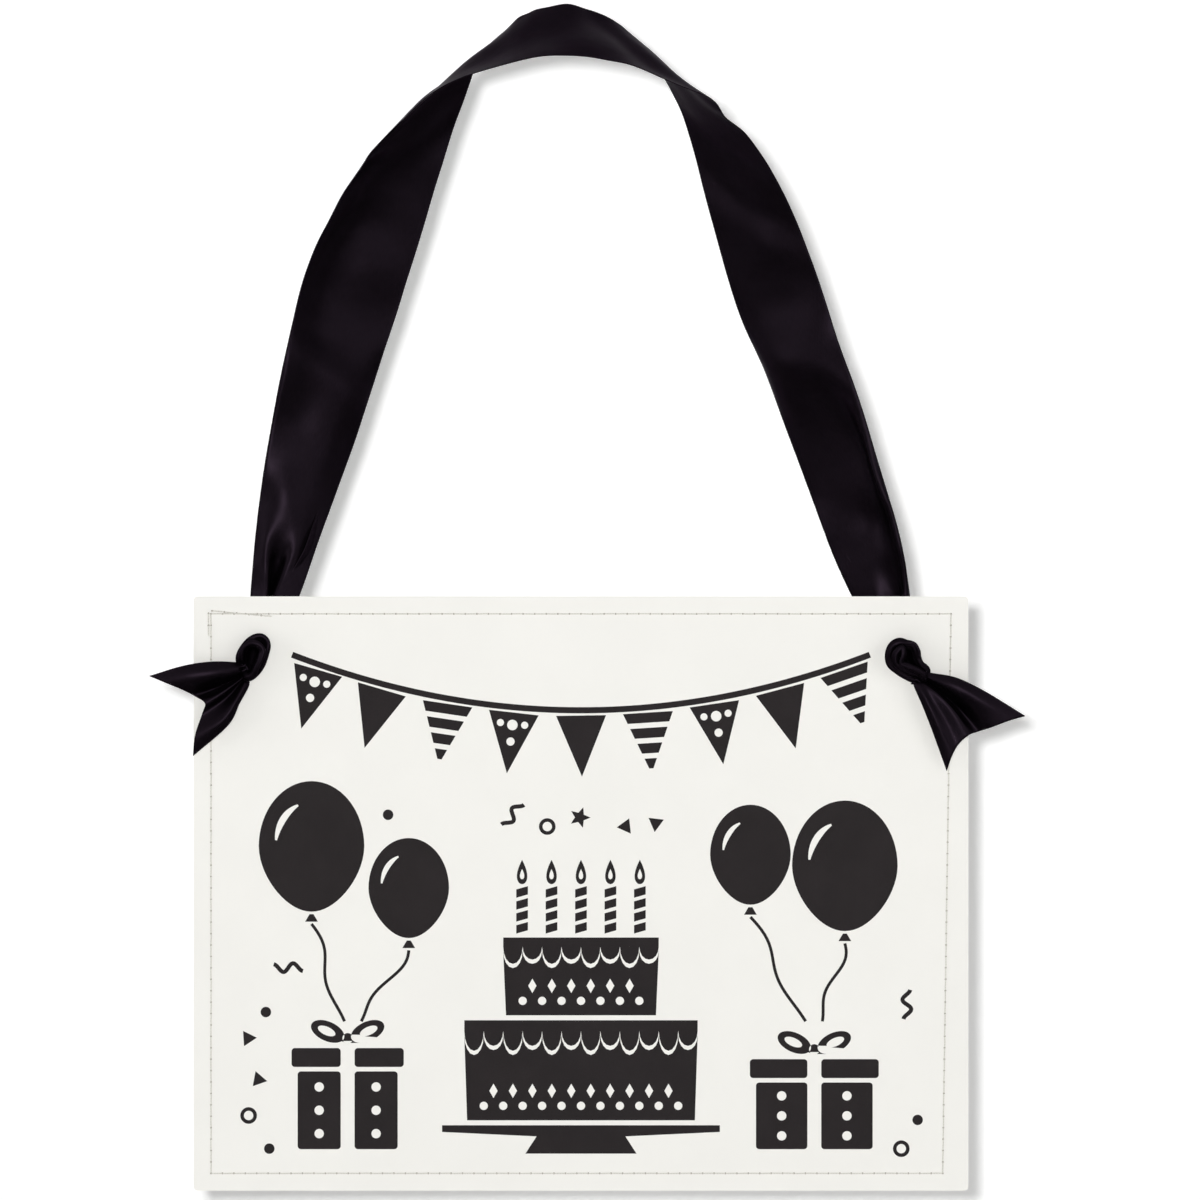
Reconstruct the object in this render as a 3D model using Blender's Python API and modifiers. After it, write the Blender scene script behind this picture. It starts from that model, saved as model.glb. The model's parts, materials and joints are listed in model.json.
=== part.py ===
"""Hanging party sign: two stitched card sheets on a knotted satin ribbon.

Everything is in metres, +Z up, the printed front faces -Y. The origin is the
point under the middle of the ribbon's arch where a hook or nail carries it.
Run with: blender --background --python part.py
"""
import math

import bmesh
import bpy
import numpy as np
from mathutils import Matrix, Vector

MM = 0.001

# Card sheets
CARD_WIDTH = 279.0 * MM
CARD_HEIGHT = 214.0 * MM
CARD_OFFSET = 5.0 * MM
SHEET_THICKNESS = 0.5 * MM
SHEET_GAP = 0.1 * MM
CORNER_RADIUS = 1.5 * MM
CORNER_STEPS = 4

# Punched holes for the ribbon, measured from the card's side and top edges
HOLE_DIAMETER = 8.0 * MM
HOLE_FROM_SIDE = 22.0 * MM
HOLE_FROM_TOP = 19.8 * MM
HOLE_STEPS = 32

# Lockstitch seam all round the card
SEAM_INSET = 6.3 * MM
STITCH_LENGTH = 4.1 * MM
THREAD_DIAMETER = 0.36 * MM
THREAD_GAP = 0.1 * MM
STITCH_CROWN = 0.15 * MM

# Satin ribbon
RIBBON_WIDTH = 38.0 * MM
RIBBON_THICKNESS = 0.4 * MM
LOOP_DROP = 223.8 * MM
LOOP_UNIT = 1.0 * MM
COLUMNS = 8
SECTIONS_PER_STATION = 2
CREASE_ANGLE = math.radians(50.0)

# Gathered ribbon where it turns into the holes: it pivots there
BUNDLE_RADIUS = 1.6 * MM
BUNDLE_WIDTH = 9.0 * MM
ROUNDING_STEPS = 3
ROUNDING_ANGLE = math.radians(82.0)

# Clearances between pieces that touch on the real sign
PIVOT_GAP = 0.35 * MM
SEAT_GAP = 0.3 * MM

# Stopper knots and their tails
KNOT_UNIT = 1.0 * MM
KNOT_STRAND_RADIUS = 2.6 * MM
KNOT_RUN_STEPS = 4
KNOT_VOXEL = 1.0 * MM
NECK_STEPS = 24
TRIM_DEPTH = 20.0 * MM
TRIM_WIDTH = 60.0 * MM
TAIL_ROOT_RADIUS = 1.4 * MM
TAIL_ROOT_WIDTH = 9.0 * MM
TAIL_ROWS = 9
TAIL_LINE_STEPS = 3
TAIL_FOLD_STEPS = 2

# The arch, from the hook outwards to each shoulder, hand placed.
# Station: x, z and depth of the ribbon's middle in loop units; the direction in which its far
# edge lies as seen from the front, where 90 is up; how far it is turned away from the viewer;
# and its slant along the ribbon. The steep slants are the soft diagonal fold beside the hook.
ARCH_TOP = (0.0, 0.3, 0.0, 90.0, 56.0, 0.0)
LEFT_ARCH = [
    (-11.0, -0.6, 1.2, 75.0, 56.5, 18.0),
    (-20.1, -2.9, 1.7, 59.0, 50.8, 25.0),
    (-34.0, -9.5, 2.8, 45.0, 37.0, 39.0),
    (-45.9, -21.6, 4.7, 40.0, 38.7, 36.0),
    (-56.6, -40.8, 6.8, 22.0, 37.0, 27.0),
    (-74.8, -84.4, 9.1, -12.0, 24.4, 0.0),
]
RIGHT_ARCH = [
    (10.8, -0.9, 1.2, 106.0, 56.1, 19.0),
    (19.4, -3.4, 1.7, 121.0, 51.7, 23.0),
    (35.3, -11.8, 2.7, 137.0, 36.2, 40.0),
    (47.2, -23.7, 4.8, 140.0, 39.4, 36.0),
    (58.1, -42.1, 7.0, 154.0, 41.2, 27.0),
    (74.2, -87.2, 9.5, 186.0, 35.4, 0.0),
]

# The strands, from each shoulder down to its hole.
# Station: share of the way to the hole, outward bow and depth in loop units, direction of the
# far edge, turn away from the viewer, share of the width left by the folds, and packing,
# which is 0 for open folds and 1 for the tight bundle at the hole.
LEFT_STRAND = [
    (0.10, 0.9, 9.8, -14.0, 22.0, 1.00, 0.0),
    (0.25, 1.2, 9.7, -15.0, 24.0, 0.95, 0.0),
    (0.40, 0.8, 9.0, -15.0, 24.0, 0.88, 0.0),
    (0.56, 0.6, 7.4, -14.0, 22.0, 0.76, 0.0),
    (0.71, -0.1, 5.2, -12.0, 16.0, 0.61, 0.0),
    (0.85, -1.4, 3.4, -10.0, 9.0, 0.46, 0.0),
    (0.91, -1.6, 1.9, -6.0, 4.0, 0.36, 0.35),
    (0.955, -0.9, 0.5, -2.0, 0.0, 0.28, 1.0),
]
RIGHT_STRAND = [
    (0.10, 0.0, 9.8, 196.0, 35.0, 1.00, 0.0),
    (0.23, 0.2, 9.5, 198.0, 36.0, 0.94, 0.0),
    (0.39, 0.1, 8.9, 198.0, 34.0, 0.88, 0.0),
    (0.55, -0.3, 7.4, 198.0, 30.0, 0.80, 0.0),
    (0.71, -0.9, 5.2, 197.0, 22.0, 0.69, 0.0),
    (0.85, -1.7, 3.4, 194.0, 10.0, 0.53, 0.0),
    (0.91, -1.8, 1.9, 189.0, 4.0, 0.38, 0.35),
    (0.955, -1.0, 0.5, 183.0, 0.0, 0.28, 1.0),
]

# Overhand knots, as the middle of the gathered ribbon runs, in knot units from the hole: to
# the right, up, and out from the card's face.
LEFT_KNOT_RUN = [
    (0.0, 0.0, 1.6),
    (3.4, 1.8, 4.6),
    (2.4, 3.4, 6.6),
    (-1.0, 2.4, 7.0),
    (-3.8, -1.0, 6.0),
    (-4.2, -5.4, 4.4),
    (-2.4, -9.8, 3.6),
    (0.2, -8.8, 4.2),
    (1.8, -4.6, 6.6),
    (1.2, -0.8, 9.0),
    (-1.4, -1.8, 9.6),
    (-2.2, -5.8, 8.0),
    (-4.0, -8.2, 4.6),
]
RIGHT_KNOT_RUN = [
    (0.0, 0.0, 1.6),
    (-4.6, 1.2, 4.6),
    (-3.4, 2.2, 7.0),
    (0.4, 0.8, 7.4),
    (1.6, -2.2, 5.6),
    (0.0, -6.6, 3.8),
    (-3.6, -5.4, 4.2),
    (-5.0, -1.8, 7.0),
    (-1.8, -1.6, 9.2),
    (1.6, -4.4, 8.6),
    (3.6, -7.2, 6.2),
    (5.0, -9.4, 4.2),
]

# Tails: where each leaves its knot, which way it runs, and five lines along it from one
# edge over each lobe and the fold between them to the other edge, in knot units from the
# hole: to the right, up, and out from the card's face. Their last points are the
# swallow-tail cut.
LEFT_TAIL = {
    "root": (-4.6, -8.4, 4.0),
    "heading": (-0.83, -0.56),
    "lines": [
        [(-7.4, -4.4, 4.6), (-15.8, -3.9, 6.4), (-27.0, -5.6, 7.0), (-37.8, -9.0, 6.4)],
        [(-6.2, -6.0, 5.0), (-13.4, -8.0, 7.4), (-20.6, -10.4, 8.0), (-26.8, -12.9, 7.0)],
        [(-5.2, -8.8, 3.6), (-8.8, -12.0, 3.4), (-12.9, -15.3, 3.6), (-17.4, -18.7, 4.2)],
        [(-4.0, -10.8, 4.6), (-7.2, -16.2, 5.4), (-12.2, -22.4, 6.0), (-21.5, -28.0, 5.6)],
        [(-2.6, -12.8, 4.6), (-5.4, -19.6, 5.2), (-10.6, -29.0, 5.0), (-21.9, -38.2, 3.4)],
    ],
}
RIGHT_TAIL = {
    "root": (5.4, -9.6, 4.0),
    "heading": (0.66, -0.75),
    "lines": [
        [(8.4, -7.2, 4.6), (16.5, -8.8, 6.6), (28.5, -14.4, 7.2), (43.0, -23.6, 6.4)],
        [(7.4, -8.8, 5.0), (14.6, -12.4, 7.2), (23.6, -18.8, 8.0), (32.0, -26.4, 7.0)],
        [(6.4, -10.4, 3.6), (10.6, -16.2, 3.4), (15.8, -23.0, 3.6), (21.5, -30.0, 4.2)],
        [(4.4, -11.4, 4.6), (7.6, -18.2, 5.2), (11.8, -26.4, 5.6), (17.4, -35.2, 5.2)],
        [(2.8, -12.0, 4.6), (5.2, -18.9, 5.2), (9.0, -28.4, 5.0), (14.2, -42.7, 3.4)],
    ],
}

# Places worked out from the sizes above
HOLE_Z = -LOOP_DROP
CARD_TOP = HOLE_Z + HOLE_FROM_TOP
CARD_BOTTOM = CARD_TOP - CARD_HEIGHT
HOLE_SPREAD = CARD_WIDTH / 2 - HOLE_FROM_SIDE
LEFT_HOLE_X = CARD_OFFSET - HOLE_SPREAD
RIGHT_HOLE_X = CARD_OFFSET + HOLE_SPREAD
BACK_FACE = -(BUNDLE_RADIUS + PIVOT_GAP)
SHEETS_MEET = BACK_FACE - SHEET_THICKNESS
FRONT_FACE = SHEETS_MEET - SHEET_GAP - SHEET_THICKNESS


def clear_scene():
    """Start from an empty scene, with one collection for the sign."""
    for item in list(bpy.data.objects):
        bpy.data.objects.remove(item, do_unlink=True)
    sign = bpy.data.collections.new("party_sign")
    tools = bpy.data.collections.new("cutters")
    bpy.context.scene.collection.children.link(sign)
    bpy.context.scene.collection.children.link(tools)
    return sign, tools


def make_material(name, colour, roughness):
    """A plain finish in the piece's own colour."""
    material = bpy.data.materials.new(name)
    material.use_nodes = True
    shader = material.node_tree.nodes["Principled BSDF"]
    shader.inputs["Base Color"].default_value = (*colour, 1.0)
    shader.inputs["Roughness"].default_value = roughness
    shader.inputs["Metallic"].default_value = 0.0
    material.diffuse_color = (*colour, 1.0)
    return material


def add_object(name, data, collection, material=None):
    """Put a mesh or curve into the scene as one named object."""
    item = bpy.data.objects.new(name, data)
    collection.objects.link(item)
    if material is not None:
        data.materials.append(material)
    return item


def smooth_run(points, steps):
    """Points on a smooth curve through the given ones, steps to each stretch."""
    pts = np.array(points, dtype=float)
    before = 2 * pts[0] - pts[1]
    after = 2 * pts[-1] - pts[-2]
    pts = np.vstack([before, pts, after])
    run = []
    for i in range(1, len(pts) - 2):
        p0, p1, p2, p3 = pts[i - 1:i + 3]
        for k in range(steps):
            t = k / steps
            bend = 2 * p0 - 5 * p1 + 4 * p2 - p3
            swing = -p0 + 3 * p1 - 3 * p2 + p3
            run.append(0.5 * (2 * p1 + (p2 - p0) * t + bend * t ** 2 + swing * t ** 3))
    run.append(pts[-2])
    return np.array(run)


# Card sheets

def card_outline():
    """The card's outline with its small rounded corners, as x and z pairs."""
    left = CARD_OFFSET - CARD_WIDTH / 2
    right = CARD_OFFSET + CARD_WIDTH / 2
    r = CORNER_RADIUS
    centres = [
        (right - r, CARD_TOP - r, 0.0),
        (left + r, CARD_TOP - r, 90.0),
        (left + r, CARD_BOTTOM + r, 180.0),
        (right - r, CARD_BOTTOM + r, 270.0),
    ]
    outline = []
    for x, z, start in centres:
        for k in range(CORNER_STEPS + 1):
            angle = math.radians(start + 90.0 * k / CORNER_STEPS)
            outline.append((x + r * math.cos(angle), z + r * math.sin(angle)))
    return outline


def circle_outline(x, z, radius, steps):
    """A punched hole's outline."""
    turns = [2 * math.pi * k / steps for k in range(steps)]
    return [(x + radius * math.cos(a), z + radius * math.sin(a)) for a in turns]


def make_sheet(name, front_y, collection, material):
    """One card sheet: a flat outline with two holes, given its thickness."""
    curve = bpy.data.curves.new(name, "CURVE")
    curve.dimensions = "2D"
    curve.fill_mode = "BOTH"
    curve.extrude = SHEET_THICKNESS / 2
    outlines = [card_outline()]
    for hole_x in (LEFT_HOLE_X, RIGHT_HOLE_X):
        outlines.append(circle_outline(hole_x, HOLE_Z, HOLE_DIAMETER / 2, HOLE_STEPS))
    for outline in outlines:
        spline = curve.splines.new("POLY")
        spline.points.add(len(outline) - 1)
        spline.use_cyclic_u = True
        for point, (x, z) in zip(spline.points, outline):
            point.co = (x, z, 0.0, 1.0)
    sheet = add_object(name, curve, collection, material)
    sheet.location = (0.0, front_y + SHEET_THICKNESS / 2, 0.0)
    sheet.rotation_euler = (math.radians(90.0), 0.0, 0.0)
    return sheet


# Seam

def seam_points():
    """Needle holes round the card, evenly spaced on each side, as x and z pairs."""
    left = CARD_OFFSET - CARD_WIDTH / 2 + SEAM_INSET
    right = CARD_OFFSET + CARD_WIDTH / 2 - SEAM_INSET
    top = CARD_TOP - SEAM_INSET
    bottom = CARD_BOTTOM + SEAM_INSET
    corners = [(left, top), (right, top), (right, bottom), (left, bottom), (left, top)]
    holes = []
    for (x0, z0), (x1, z1) in zip(corners, corners[1:]):
        count = max(1, round(math.hypot(x1 - x0, z1 - z0) / STITCH_LENGTH))
        for k in range(count):
            share = k / count
            holes.append((x0 + (x1 - x0) * share, z0 + (z1 - z0) * share))
    return holes


def make_thread(name, face_y, outward, collection, material):
    """One unbroken thread that dips at each needle hole and crowns between them."""
    holes = seam_points()
    low = face_y + outward * (THREAD_GAP + THREAD_DIAMETER / 2)
    high = low + outward * STITCH_CROWN
    curve = bpy.data.curves.new(name, "CURVE")
    curve.dimensions = "3D"
    curve.bevel_depth = THREAD_DIAMETER / 2
    curve.bevel_resolution = 0
    spline = curve.splines.new("POLY")
    spline.points.add(2 * len(holes) - 1)
    spline.use_cyclic_u = True
    for k, (x, z) in enumerate(holes):
        next_x, next_z = holes[(k + 1) % len(holes)]
        spline.points[2 * k].co = (x, low, z, 1.0)
        spline.points[2 * k + 1].co = ((x + next_x) / 2, high, (z + next_z) / 2, 1.0)
    return add_object(name, curve, collection, material)


# Ribbon cloth

def cloth_normals(grid):
    """Outward direction at each point of a grid of points, from its neighbours."""
    along = np.gradient(grid, axis=0)
    across = np.gradient(grid, axis=1)
    normals = np.cross(along, across)
    return normals / np.linalg.norm(normals, axis=2, keepdims=True)


def cloth_solid(name, grid, half_thickness, normals, collection, material):
    """Give a grid of cloth points its thickness and close it along all four edges."""
    rows, columns = grid.shape[:2]
    offset = normals * np.array(half_thickness)[:, None, None]
    points = np.concatenate([(grid + offset).reshape(-1, 3), (grid - offset).reshape(-1, 3)])
    mesh = bmesh.new()
    verts = [mesh.verts.new(Vector(p)) for p in points]
    under = rows * columns

    def at(r, c, side):
        return verts[side * under + r * columns + c]

    for r in range(rows - 1):
        for c in range(columns - 1):
            mesh.faces.new((at(r, c, 0), at(r + 1, c, 0), at(r + 1, c + 1, 0), at(r, c + 1, 0)))
            mesh.faces.new((at(r, c, 1), at(r, c + 1, 1), at(r + 1, c + 1, 1), at(r + 1, c, 1)))
        last = columns - 1
        mesh.faces.new((at(r, 0, 1), at(r + 1, 0, 1), at(r + 1, 0, 0), at(r, 0, 0)))
        mesh.faces.new((at(r, last, 0), at(r + 1, last, 0), at(r + 1, last, 1), at(r, last, 1)))
    for c in range(columns - 1):
        last = rows - 1
        mesh.faces.new((at(0, c, 0), at(0, c + 1, 0), at(0, c + 1, 1), at(0, c, 1)))
        mesh.faces.new((at(last, c, 1), at(last, c + 1, 1), at(last, c + 1, 0), at(last, c, 0)))
    bmesh.ops.recalc_face_normals(mesh, faces=mesh.faces)
    data = bpy.data.meshes.new(name)
    mesh.to_mesh(data)
    mesh.free()
    data.shade_smooth()
    data.set_sharp_from_angle(angle=CREASE_ANGLE)
    return add_object(name, data, collection, material)


def strand_stations(shoulder, hole_x, strand, outward):
    """Strand stations in metres, placed between the shoulder and the hole."""
    start = np.array([shoulder[0], shoulder[1]]) * LOOP_UNIT
    end = np.array([hole_x, HOLE_Z])
    way = end - start
    side = np.array([-way[1], way[0]]) / np.linalg.norm(way)
    if side[0] * outward < 0:
        side = -side
    level = 0.0 if outward < 0 else 180.0
    stations = []
    for share, bow, depth, clock, turn, kept, packing in strand:
        x, z = start + way * share + side * bow * LOOP_UNIT
        stations.append((x, z, depth * LOOP_UNIT, clock, turn, 0.0, kept, packing))
    stations.append((hole_x, HOLE_Z, 0.0, level, 0.0, 0.0, BUNDLE_WIDTH / RIBBON_WIDTH, 1.0))
    return stations


def arch_stations(arch):
    """Arch stations in metres, flat and unfolded."""
    unit = LOOP_UNIT
    return [(x * unit, z * unit, depth * unit, *angles, 1.0, 0.0) for x, z, depth, *angles in arch]


def ribbon_route():
    """All stations, from the left hole over the arch to the right hole."""
    left = arch_stations(LEFT_ARCH) + strand_stations(LEFT_ARCH[-1], LEFT_HOLE_X, LEFT_STRAND, -1)
    right = arch_stations(RIGHT_ARCH) + strand_stations(RIGHT_ARCH[-1], RIGHT_HOLE_X, RIGHT_STRAND, 1)
    route = left[::-1] + arch_stations([ARCH_TOP]) + right
    return smooth_run(route, SECTIONS_PER_STATION)


def ribbon_row(station, tangent):
    """One row of cloth points across the ribbon, with the outer face's direction."""
    x, z, depth, clock, turn, slant, kept, packing = station
    packing = min(1.0, max(0.0, packing))
    kept = min(1.0, kept)
    clock = math.radians(clock)
    turn = math.radians(turn)
    across = Vector((math.cos(clock) * math.cos(turn), math.sin(turn), math.sin(clock) * math.cos(turn)))
    outer = Vector(tangent).cross(across).normalized()
    column = RIBBON_WIDTH / COLUMNS
    width = RIBBON_WIDTH * kept * (1 - packing) + BUNDLE_WIDTH * packing
    width /= math.cos(math.radians(slant))
    pleat = column * math.sqrt(1 - kept ** 2) / 2 * (1 - packing)
    row = []
    for c in range(COLUMNS + 1):
        fold = pleat if c % 2 else -pleat
        row.append(Vector((x, depth, z)) + across * width * (c / COLUMNS - 0.5) + outer * fold)
    half = RIBBON_THICKNESS / 2 * (1 - packing) + BUNDLE_RADIUS * packing
    return row, outer, half


def rounded_rows(row, outer, half, ahead):
    """Rows that round a bundle's end off about its pivot axis."""
    extra = []
    for k in range(1, ROUNDING_STEPS + 1):
        angle = ROUNDING_ANGLE * k / ROUNDING_STEPS
        moved = [p + ahead * half * math.sin(angle) for p in row]
        extra.append((moved, outer, half * math.cos(angle)))
    return extra


def make_ribbon(collection, material):
    """The hanging loop: one strip that twists over at the arch and gathers at both holes."""
    route = ribbon_route()
    middle = np.stack([route[:, 0], route[:, 2], route[:, 1]], axis=1)
    tangents = np.gradient(middle, axis=0)
    tangents[0] = (0.0, 0.0, 1.0)
    tangents[-1] = (0.0, 0.0, -1.0)
    rows = [ribbon_row(station, tangent) for station, tangent in zip(route, tangents)]
    down = Vector((0.0, 0.0, -1.0))
    first = rounded_rows(*rows[0], down)[::-1]
    last = rounded_rows(*rows[-1], down)
    rows = first + rows + last
    grid = np.array([[tuple(p) for p in row] for row, outer, half in rows])
    halves = [half for row, outer, half in rows]
    packed = np.array([half > RIBBON_THICKNESS for half in halves])
    normals = cloth_normals(grid)
    outers = np.array([tuple(outer) for row, outer, half in rows])
    normals[packed] = outers[packed][:, None, :]
    return cloth_solid("ribbon_hanger", grid, halves, normals, collection, material)


# Knots and tails

def from_hole(hole_x, place):
    """A place given in knot units to the right of, above and out from a hole's front rim."""
    right, up, out = Vector(place) * KNOT_UNIT
    return Vector((hole_x + right, FRONT_FACE - out, HOLE_Z + up))


def add_cutter(name, size, matrix, tools):
    """A box that trims a knot."""
    mesh = bmesh.new()
    bmesh.ops.create_cube(mesh, size=1.0)
    bmesh.ops.scale(mesh, vec=size, verts=mesh.verts)
    data = bpy.data.meshes.new(name)
    mesh.to_mesh(data)
    mesh.free()
    cutter = add_object(name, data, tools)
    cutter.matrix_world = matrix
    cutter.hide_render = True
    cutter.display_type = "WIRE"
    return cutter


def add_neck(name, hole_x, tools):
    """The round neck that runs through the holes from the knot to the back face."""
    length = BACK_FACE - FRONT_FACE + KNOT_STRAND_RADIUS
    mesh = bmesh.new()
    radius = HOLE_DIAMETER / 2 - SEAT_GAP
    bmesh.ops.create_cone(
        mesh, cap_ends=True, segments=NECK_STEPS, radius1=radius, radius2=radius, depth=length)
    data = bpy.data.meshes.new(name)
    mesh.to_mesh(data)
    mesh.free()
    neck = add_object(name, data, tools)
    middle_y = BACK_FACE - length / 2
    neck.matrix_world = Matrix.Translation((hole_x, middle_y, HOLE_Z)) @ Matrix.Rotation(
        math.radians(90.0), 4, "X")
    neck.hide_render = True
    neck.display_type = "WIRE"
    return neck


def tail_axes(tail, hole_x):
    """The tail's root, its heading and its pivot axis."""
    heading = Vector((tail["heading"][0], 0.0, tail["heading"][1])).normalized()
    outward = Vector((0.0, -1.0, 0.0))
    return from_hole(hole_x, tail["root"]), heading, heading.cross(outward)


def make_knot(name, hole_x, run, tail, collection, tools, material):
    """An overhand stopper knot: a gathered strand laid over and through itself."""
    curve = bpy.data.curves.new(name + "_run", "CURVE")
    curve.dimensions = "3D"
    curve.bevel_depth = KNOT_STRAND_RADIUS
    curve.bevel_resolution = 3
    curve.use_fill_caps = True
    points = [from_hole(hole_x, place) for place in smooth_run(run, KNOT_RUN_STEPS)]
    spline = curve.splines.new("POLY")
    spline.points.add(len(points) - 1)
    for point, place in zip(spline.points, points):
        point.co = (*place, 1.0)
    guide = add_object(name + "_run", curve, tools)
    bpy.context.view_layer.update()
    evaluated = guide.evaluated_get(bpy.context.evaluated_depsgraph_get())
    data = bpy.data.meshes.new_from_object(evaluated)
    bpy.data.objects.remove(guide, do_unlink=True)
    mesh = bmesh.new()
    mesh.from_mesh(data)
    bmesh.ops.remove_doubles(mesh, verts=mesh.verts, dist=0.00001)
    mesh.to_mesh(data)
    mesh.free()
    data.name = name
    knot = add_object(name, data, collection, material)

    fuse = knot.modifiers.new("drawn_tight", "REMESH")
    fuse.mode = "VOXEL"
    fuse.voxel_size = KNOT_VOXEL
    fuse.use_smooth_shade = True

    back = Matrix.Translation((hole_x, FRONT_FACE - SEAT_GAP + TRIM_DEPTH / 2, HOLE_Z))
    root, heading, pivot = tail_axes(tail, hole_x)
    facing = Matrix((heading, pivot, heading.cross(pivot))).transposed().to_4x4()
    beyond = Matrix.Translation(root + heading * (TRIM_DEPTH / 2 - TAIL_ROOT_RADIUS - PIVOT_GAP))
    back_size = (TRIM_WIDTH, TRIM_DEPTH, TRIM_WIDTH)
    tail_size = (TRIM_DEPTH, TRIM_WIDTH, TRIM_WIDTH)
    cutters = [
        add_cutter(name + "_back_trim", back_size, back, tools),
        add_cutter(name + "_tail_trim", tail_size, beyond @ facing, tools),
    ]
    for cutter in cutters:
        trim = knot.modifiers.new(cutter.name, "BOOLEAN")
        trim.operation = "DIFFERENCE"
        trim.object = cutter
    join = knot.modifiers.new("neck", "BOOLEAN")
    join.operation = "UNION"
    join.object = add_neck(name + "_neck", hole_x, tools)
    return knot


def tail_grid(hole_x, tail):
    """Cloth points over a tail, from its knot to its cut and from edge to edge."""
    lines = []
    for line in tail["lines"]:
        run = smooth_run(line, TAIL_LINE_STEPS)
        share = np.linspace(0, len(run) - 1, TAIL_ROWS)
        lines.append([np.interp(share, range(len(run)), run[:, k]) for k in range(3)])
    lines = np.array(lines)
    rows = [smooth_run(lines[:, :, r], TAIL_FOLD_STEPS) for r in range(TAIL_ROWS)]
    return [[from_hole(hole_x, place) for place in row] for row in rows]


def make_tail(name, hole_x, tail, collection, material):
    """A ribbon end with its swallow-tail cut, folded along its middle."""
    root, heading, pivot = tail_axes(tail, hole_x)
    grid = tail_grid(hole_x, tail)
    start = [root - pivot * TAIL_ROOT_WIDTH * (c / COLUMNS - 0.5) for c in range(COLUMNS + 1)]
    if (grid[0][-1] - grid[0][0]).dot(start[-1] - start[0]) < 0:
        start.reverse()
    rounding = rounded_rows(start, None, TAIL_ROOT_RADIUS, -heading)[::-1]
    root_rows = [row for row, outer, half in rounding] + [start]
    halves = [half for row, outer, half in rounding] + [TAIL_ROOT_RADIUS]
    halves += [RIBBON_THICKNESS / 2] * len(grid)
    grid = np.array([[tuple(p) for p in row] for row in root_rows + grid])
    normals = cloth_normals(grid)
    facing = 1.0 if normals[-1, 0, 1] > 0 else -1.0
    normals[:len(root_rows)] = (0.0, facing, 0.0)
    return cloth_solid(name, grid, halves, normals, collection, material)


# Joints

def hang_from(pieces, name, place, collection):
    """Parent the pieces that move together to an empty on their joint axis."""
    pivot = add_object(name, None, collection)
    pivot.location = place
    for piece in pieces:
        piece.parent = pivot
        piece.matrix_parent_inverse = Matrix.Translation(place).inverted()


def main():
    sign, tools = clear_scene()
    card_stock = make_material("card_stock", (0.895, 0.885, 0.845), 0.6)
    thread = make_material("sewing_thread", (0.80, 0.78, 0.72), 0.8)
    satin = make_material("satin_ribbon", (0.010, 0.007, 0.011), 0.38)

    make_ribbon(sign, satin)
    swinging = [
        make_sheet("front_card", FRONT_FACE, sign, card_stock),
        make_sheet("back_card", SHEETS_MEET, sign, card_stock),
        make_thread("needle_thread", FRONT_FACE, -1, sign, thread),
        make_thread("bobbin_thread", BACK_FACE, 1, sign, thread),
        make_knot("left_knot", LEFT_HOLE_X, LEFT_KNOT_RUN, LEFT_TAIL, sign, tools, satin),
        make_knot("right_knot", RIGHT_HOLE_X, RIGHT_KNOT_RUN, RIGHT_TAIL, sign, tools, satin),
    ]
    hang_from(swinging, "card_pivot", (CARD_OFFSET, 0.0, HOLE_Z), sign)
    for side, hole_x, tail in (("left", LEFT_HOLE_X, LEFT_TAIL), ("right", RIGHT_HOLE_X, RIGHT_TAIL)):
        ribbon_end = make_tail(side + "_tail", hole_x, tail, sign, satin)
        root, heading, axis = tail_axes(tail, hole_x)
        hang_from([ribbon_end], side + "_tail_pivot", root, sign)


main()
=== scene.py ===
"""Looks of the hanging party sign: satin ribbon, card stock, seam, print and stage.

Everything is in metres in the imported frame: +Z up, the printed front faces -Y, and the
origin is the point under the middle of the ribbon's arch. The file is laid out as an
add-on and is run as a script.
"""
import json
import math
import random

import bpy
import numpy as np
from bpy.props import FloatProperty, FloatVectorProperty, IntProperty, PointerProperty
from mathutils import Matrix, Vector
from mathutils.bvhtree import BVHTree

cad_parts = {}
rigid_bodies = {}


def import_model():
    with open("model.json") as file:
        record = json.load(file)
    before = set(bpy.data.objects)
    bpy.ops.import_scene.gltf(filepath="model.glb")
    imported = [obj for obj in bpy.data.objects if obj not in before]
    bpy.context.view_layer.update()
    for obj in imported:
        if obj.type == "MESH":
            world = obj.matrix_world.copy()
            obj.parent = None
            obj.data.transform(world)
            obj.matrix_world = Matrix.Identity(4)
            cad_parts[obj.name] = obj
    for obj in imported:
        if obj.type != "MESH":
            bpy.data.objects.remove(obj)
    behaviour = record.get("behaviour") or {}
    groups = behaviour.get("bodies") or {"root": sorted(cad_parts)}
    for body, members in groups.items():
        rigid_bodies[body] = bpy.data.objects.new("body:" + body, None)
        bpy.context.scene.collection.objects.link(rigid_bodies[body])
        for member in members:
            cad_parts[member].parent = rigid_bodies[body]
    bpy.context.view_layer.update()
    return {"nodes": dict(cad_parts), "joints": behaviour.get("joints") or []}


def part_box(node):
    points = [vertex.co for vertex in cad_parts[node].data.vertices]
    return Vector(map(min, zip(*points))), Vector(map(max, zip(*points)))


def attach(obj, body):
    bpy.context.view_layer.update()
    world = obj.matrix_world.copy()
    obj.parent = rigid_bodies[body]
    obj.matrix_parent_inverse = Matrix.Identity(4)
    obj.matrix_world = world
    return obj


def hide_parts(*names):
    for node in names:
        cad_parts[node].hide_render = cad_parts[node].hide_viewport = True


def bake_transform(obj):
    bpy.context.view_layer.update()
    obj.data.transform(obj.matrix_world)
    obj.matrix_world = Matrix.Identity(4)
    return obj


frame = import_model()

bl_info = {
    "name": "Hanging Party Sign",
    "version": (1, 0, 0),
    "blender": (4, 5, 0),
    "location": "3D View > Sidebar > Party Sign",
    "description": "Dresses a stitched card sign and its knotted satin ribbon",
    "category": "Object",
}

MM = 0.001

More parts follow.
